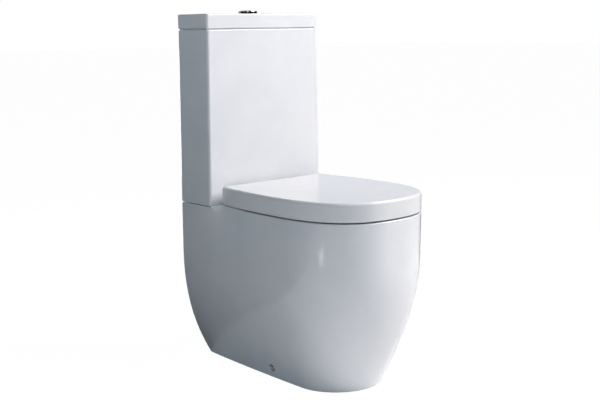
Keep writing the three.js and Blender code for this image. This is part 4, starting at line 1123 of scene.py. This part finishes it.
def toward(azimuth, elevation):
    """Direction out from the object; azimuth 0 is the camera's side, 90 the picture's right."""
    turn = math.radians(CAMERA_AZIMUTH + 180 - azimuth)
    rise = math.radians(elevation)
    return Vector((math.sin(turn) * math.cos(rise), math.cos(turn) * math.cos(rise), math.sin(rise)))


def soft_box(name, azimuth, elevation, distance, size, power, colour):
    """Rectangular area light that faces the middle of the object."""
    data = bpy.data.lights.new(name, "AREA")
    data.shape = "RECTANGLE"
    data.size, data.size_y = size
    data.energy = power
    data.color = colour
    light = bpy.data.objects.new(name, data)
    out = toward(azimuth, elevation)
    light.location = STAGE_CENTRE + out * distance
    light.rotation_mode = "QUATERNION"
    light.rotation_quaternion = (-out).to_track_quat("-Z", "Y")
    bpy.context.scene.collection.objects.link(light)
    return light


def glow(tree, azimuth, colour):
    """Soft round patch of light low on the studio's walls."""
    sky = tree.nodes.new("ShaderNodeTexCoord")
    facing = tree.nodes.new("ShaderNodeVectorMath")
    facing.operation = "DOT_PRODUCT"
    facing.inputs[1].default_value = toward(azimuth, GLOW_RISE)
    tree.links.new(sky.outputs["Generated"], facing.inputs[0])
    strength = facing.outputs["Value"]
    for operation, amount in (("MAXIMUM", 0), ("POWER", GLOW_FALLOFF)):
        step = tree.nodes.new("ShaderNodeMath")
        step.operation = operation
        step.inputs[1].default_value = amount
        tree.links.new(strength, step.inputs[0])
        strength = step.outputs["Value"]
    patch = tree.nodes.new("ShaderNodeBackground")
    patch.inputs["Color"].default_value = (*colour, 1.0)
    tree.links.new(strength, patch.inputs["Strength"])
    return patch.outputs["Background"]


def light_stage():
    """Softboxes on the right, in front, at the left of the cistern and behind, and a low strip."""
    soft_box("key_softbox", 90, 45, BOX_DISTANCE, BIG_BOX, power=82, colour=(1.0, 0.967, 0.967))
    soft_box("front_softbox", 0, 28, BOX_DISTANCE, BIG_BOX, power=16.8, colour=(0.77, 0.885, 1.0))
    soft_box("cistern_softbox", -70, 43, 1.1, (0.3, 0.3), power=0.6, colour=(0.9, 0.95, 1.0))
    rear = soft_box("rear_softbox", 205, 0, BOX_DISTANCE, (1.2, 0.6), power=9, colour=WHITE[:3])
    rear.visible_camera = False
    strip = soft_box(
        "low_strip", STRIP_AZIMUTH, 0, 1.0, (0.12, 0.05), power=0.042, colour=(0.95, 0.97, 1.0)
    )
    strip.location += toward(STRIP_AZIMUTH + 90, 0) * STRIP_SHIFT
    strip.location.z = STRIP_HEIGHT
    strip.visible_diffuse = False
    strip.visible_camera = False


def colour_walls():
    """White behind the object for the camera, two soft glows for everything else."""
    world = bpy.data.worlds.new("studio")
    bpy.context.scene.world = world
    world.use_nodes = True
    tree = world.node_tree
    both_glows = tree.nodes.new("ShaderNodeAddShader")
    tree.links.new(glow(tree, 180, (0.52, 0.58, 0.66)), both_glows.inputs[0])
    tree.links.new(glow(tree, -120, (0.36, 0.48, 0.56)), both_glows.inputs[1])
    backdrop = tree.nodes["Background"]
    backdrop.inputs["Color"].default_value = WHITE
    path = tree.nodes.new("ShaderNodeLightPath")
    mix = tree.nodes.new("ShaderNodeMixShader")
    tree.links.new(path.outputs["Is Camera Ray"], mix.inputs["Fac"])
    tree.links.new(both_glows.outputs["Shader"], mix.inputs[1])
    tree.links.new(backdrop.outputs["Background"], mix.inputs[2])
    tree.links.new(mix.outputs["Shader"], tree.nodes["World Output"].inputs["Surface"])


def floor_sheet(name, z, reach, rear_y, **finish):
    """Flat sheet under the object, for the stage."""
    corners = [(-reach, -reach, z), (reach, -reach, z), (reach, rear_y, z), (-reach, rear_y, z)]
    sheet = mesh_object(name, corners, [(0, 1, 2, 3)])
    shader = Shader(name + "_paint")
    shader.set(**finish)
    sheet.data.materials.append(shader.material)
    return sheet


def lay_floor():
    """Plain pale floor for the camera, and a white sheet up to the wall that throws light back up."""
    shown = floor_sheet(
        "floor",
        -FLOOR_DROP,
        FLOOR_REACH,
        FLOOR_REACH,
        Base_Color=(0.05, 0.05, 0.05, 1.0),
        Roughness=0.9,
        Specular_IOR_Level=0.0,
        Emission_Color=WHITE,
        Emission_Strength=FLOOR_BRIGHTNESS,
    )
    shown.visible_diffuse = False
    shown.visible_glossy = False
    shown.visible_shadow = False
    under = -2 * FLOOR_DROP
    bounce = floor_sheet("floor_bounce", under, BOUNCE_REACH, WALL_Y, Base_Color=PAPER, Roughness=0.9)
    bounce.visible_camera = False


bpy.context.scene.view_settings.view_transform = "Standard"
place_camera()
light_stage()
colour_walls()
lay_floor()
dress(make_materials())
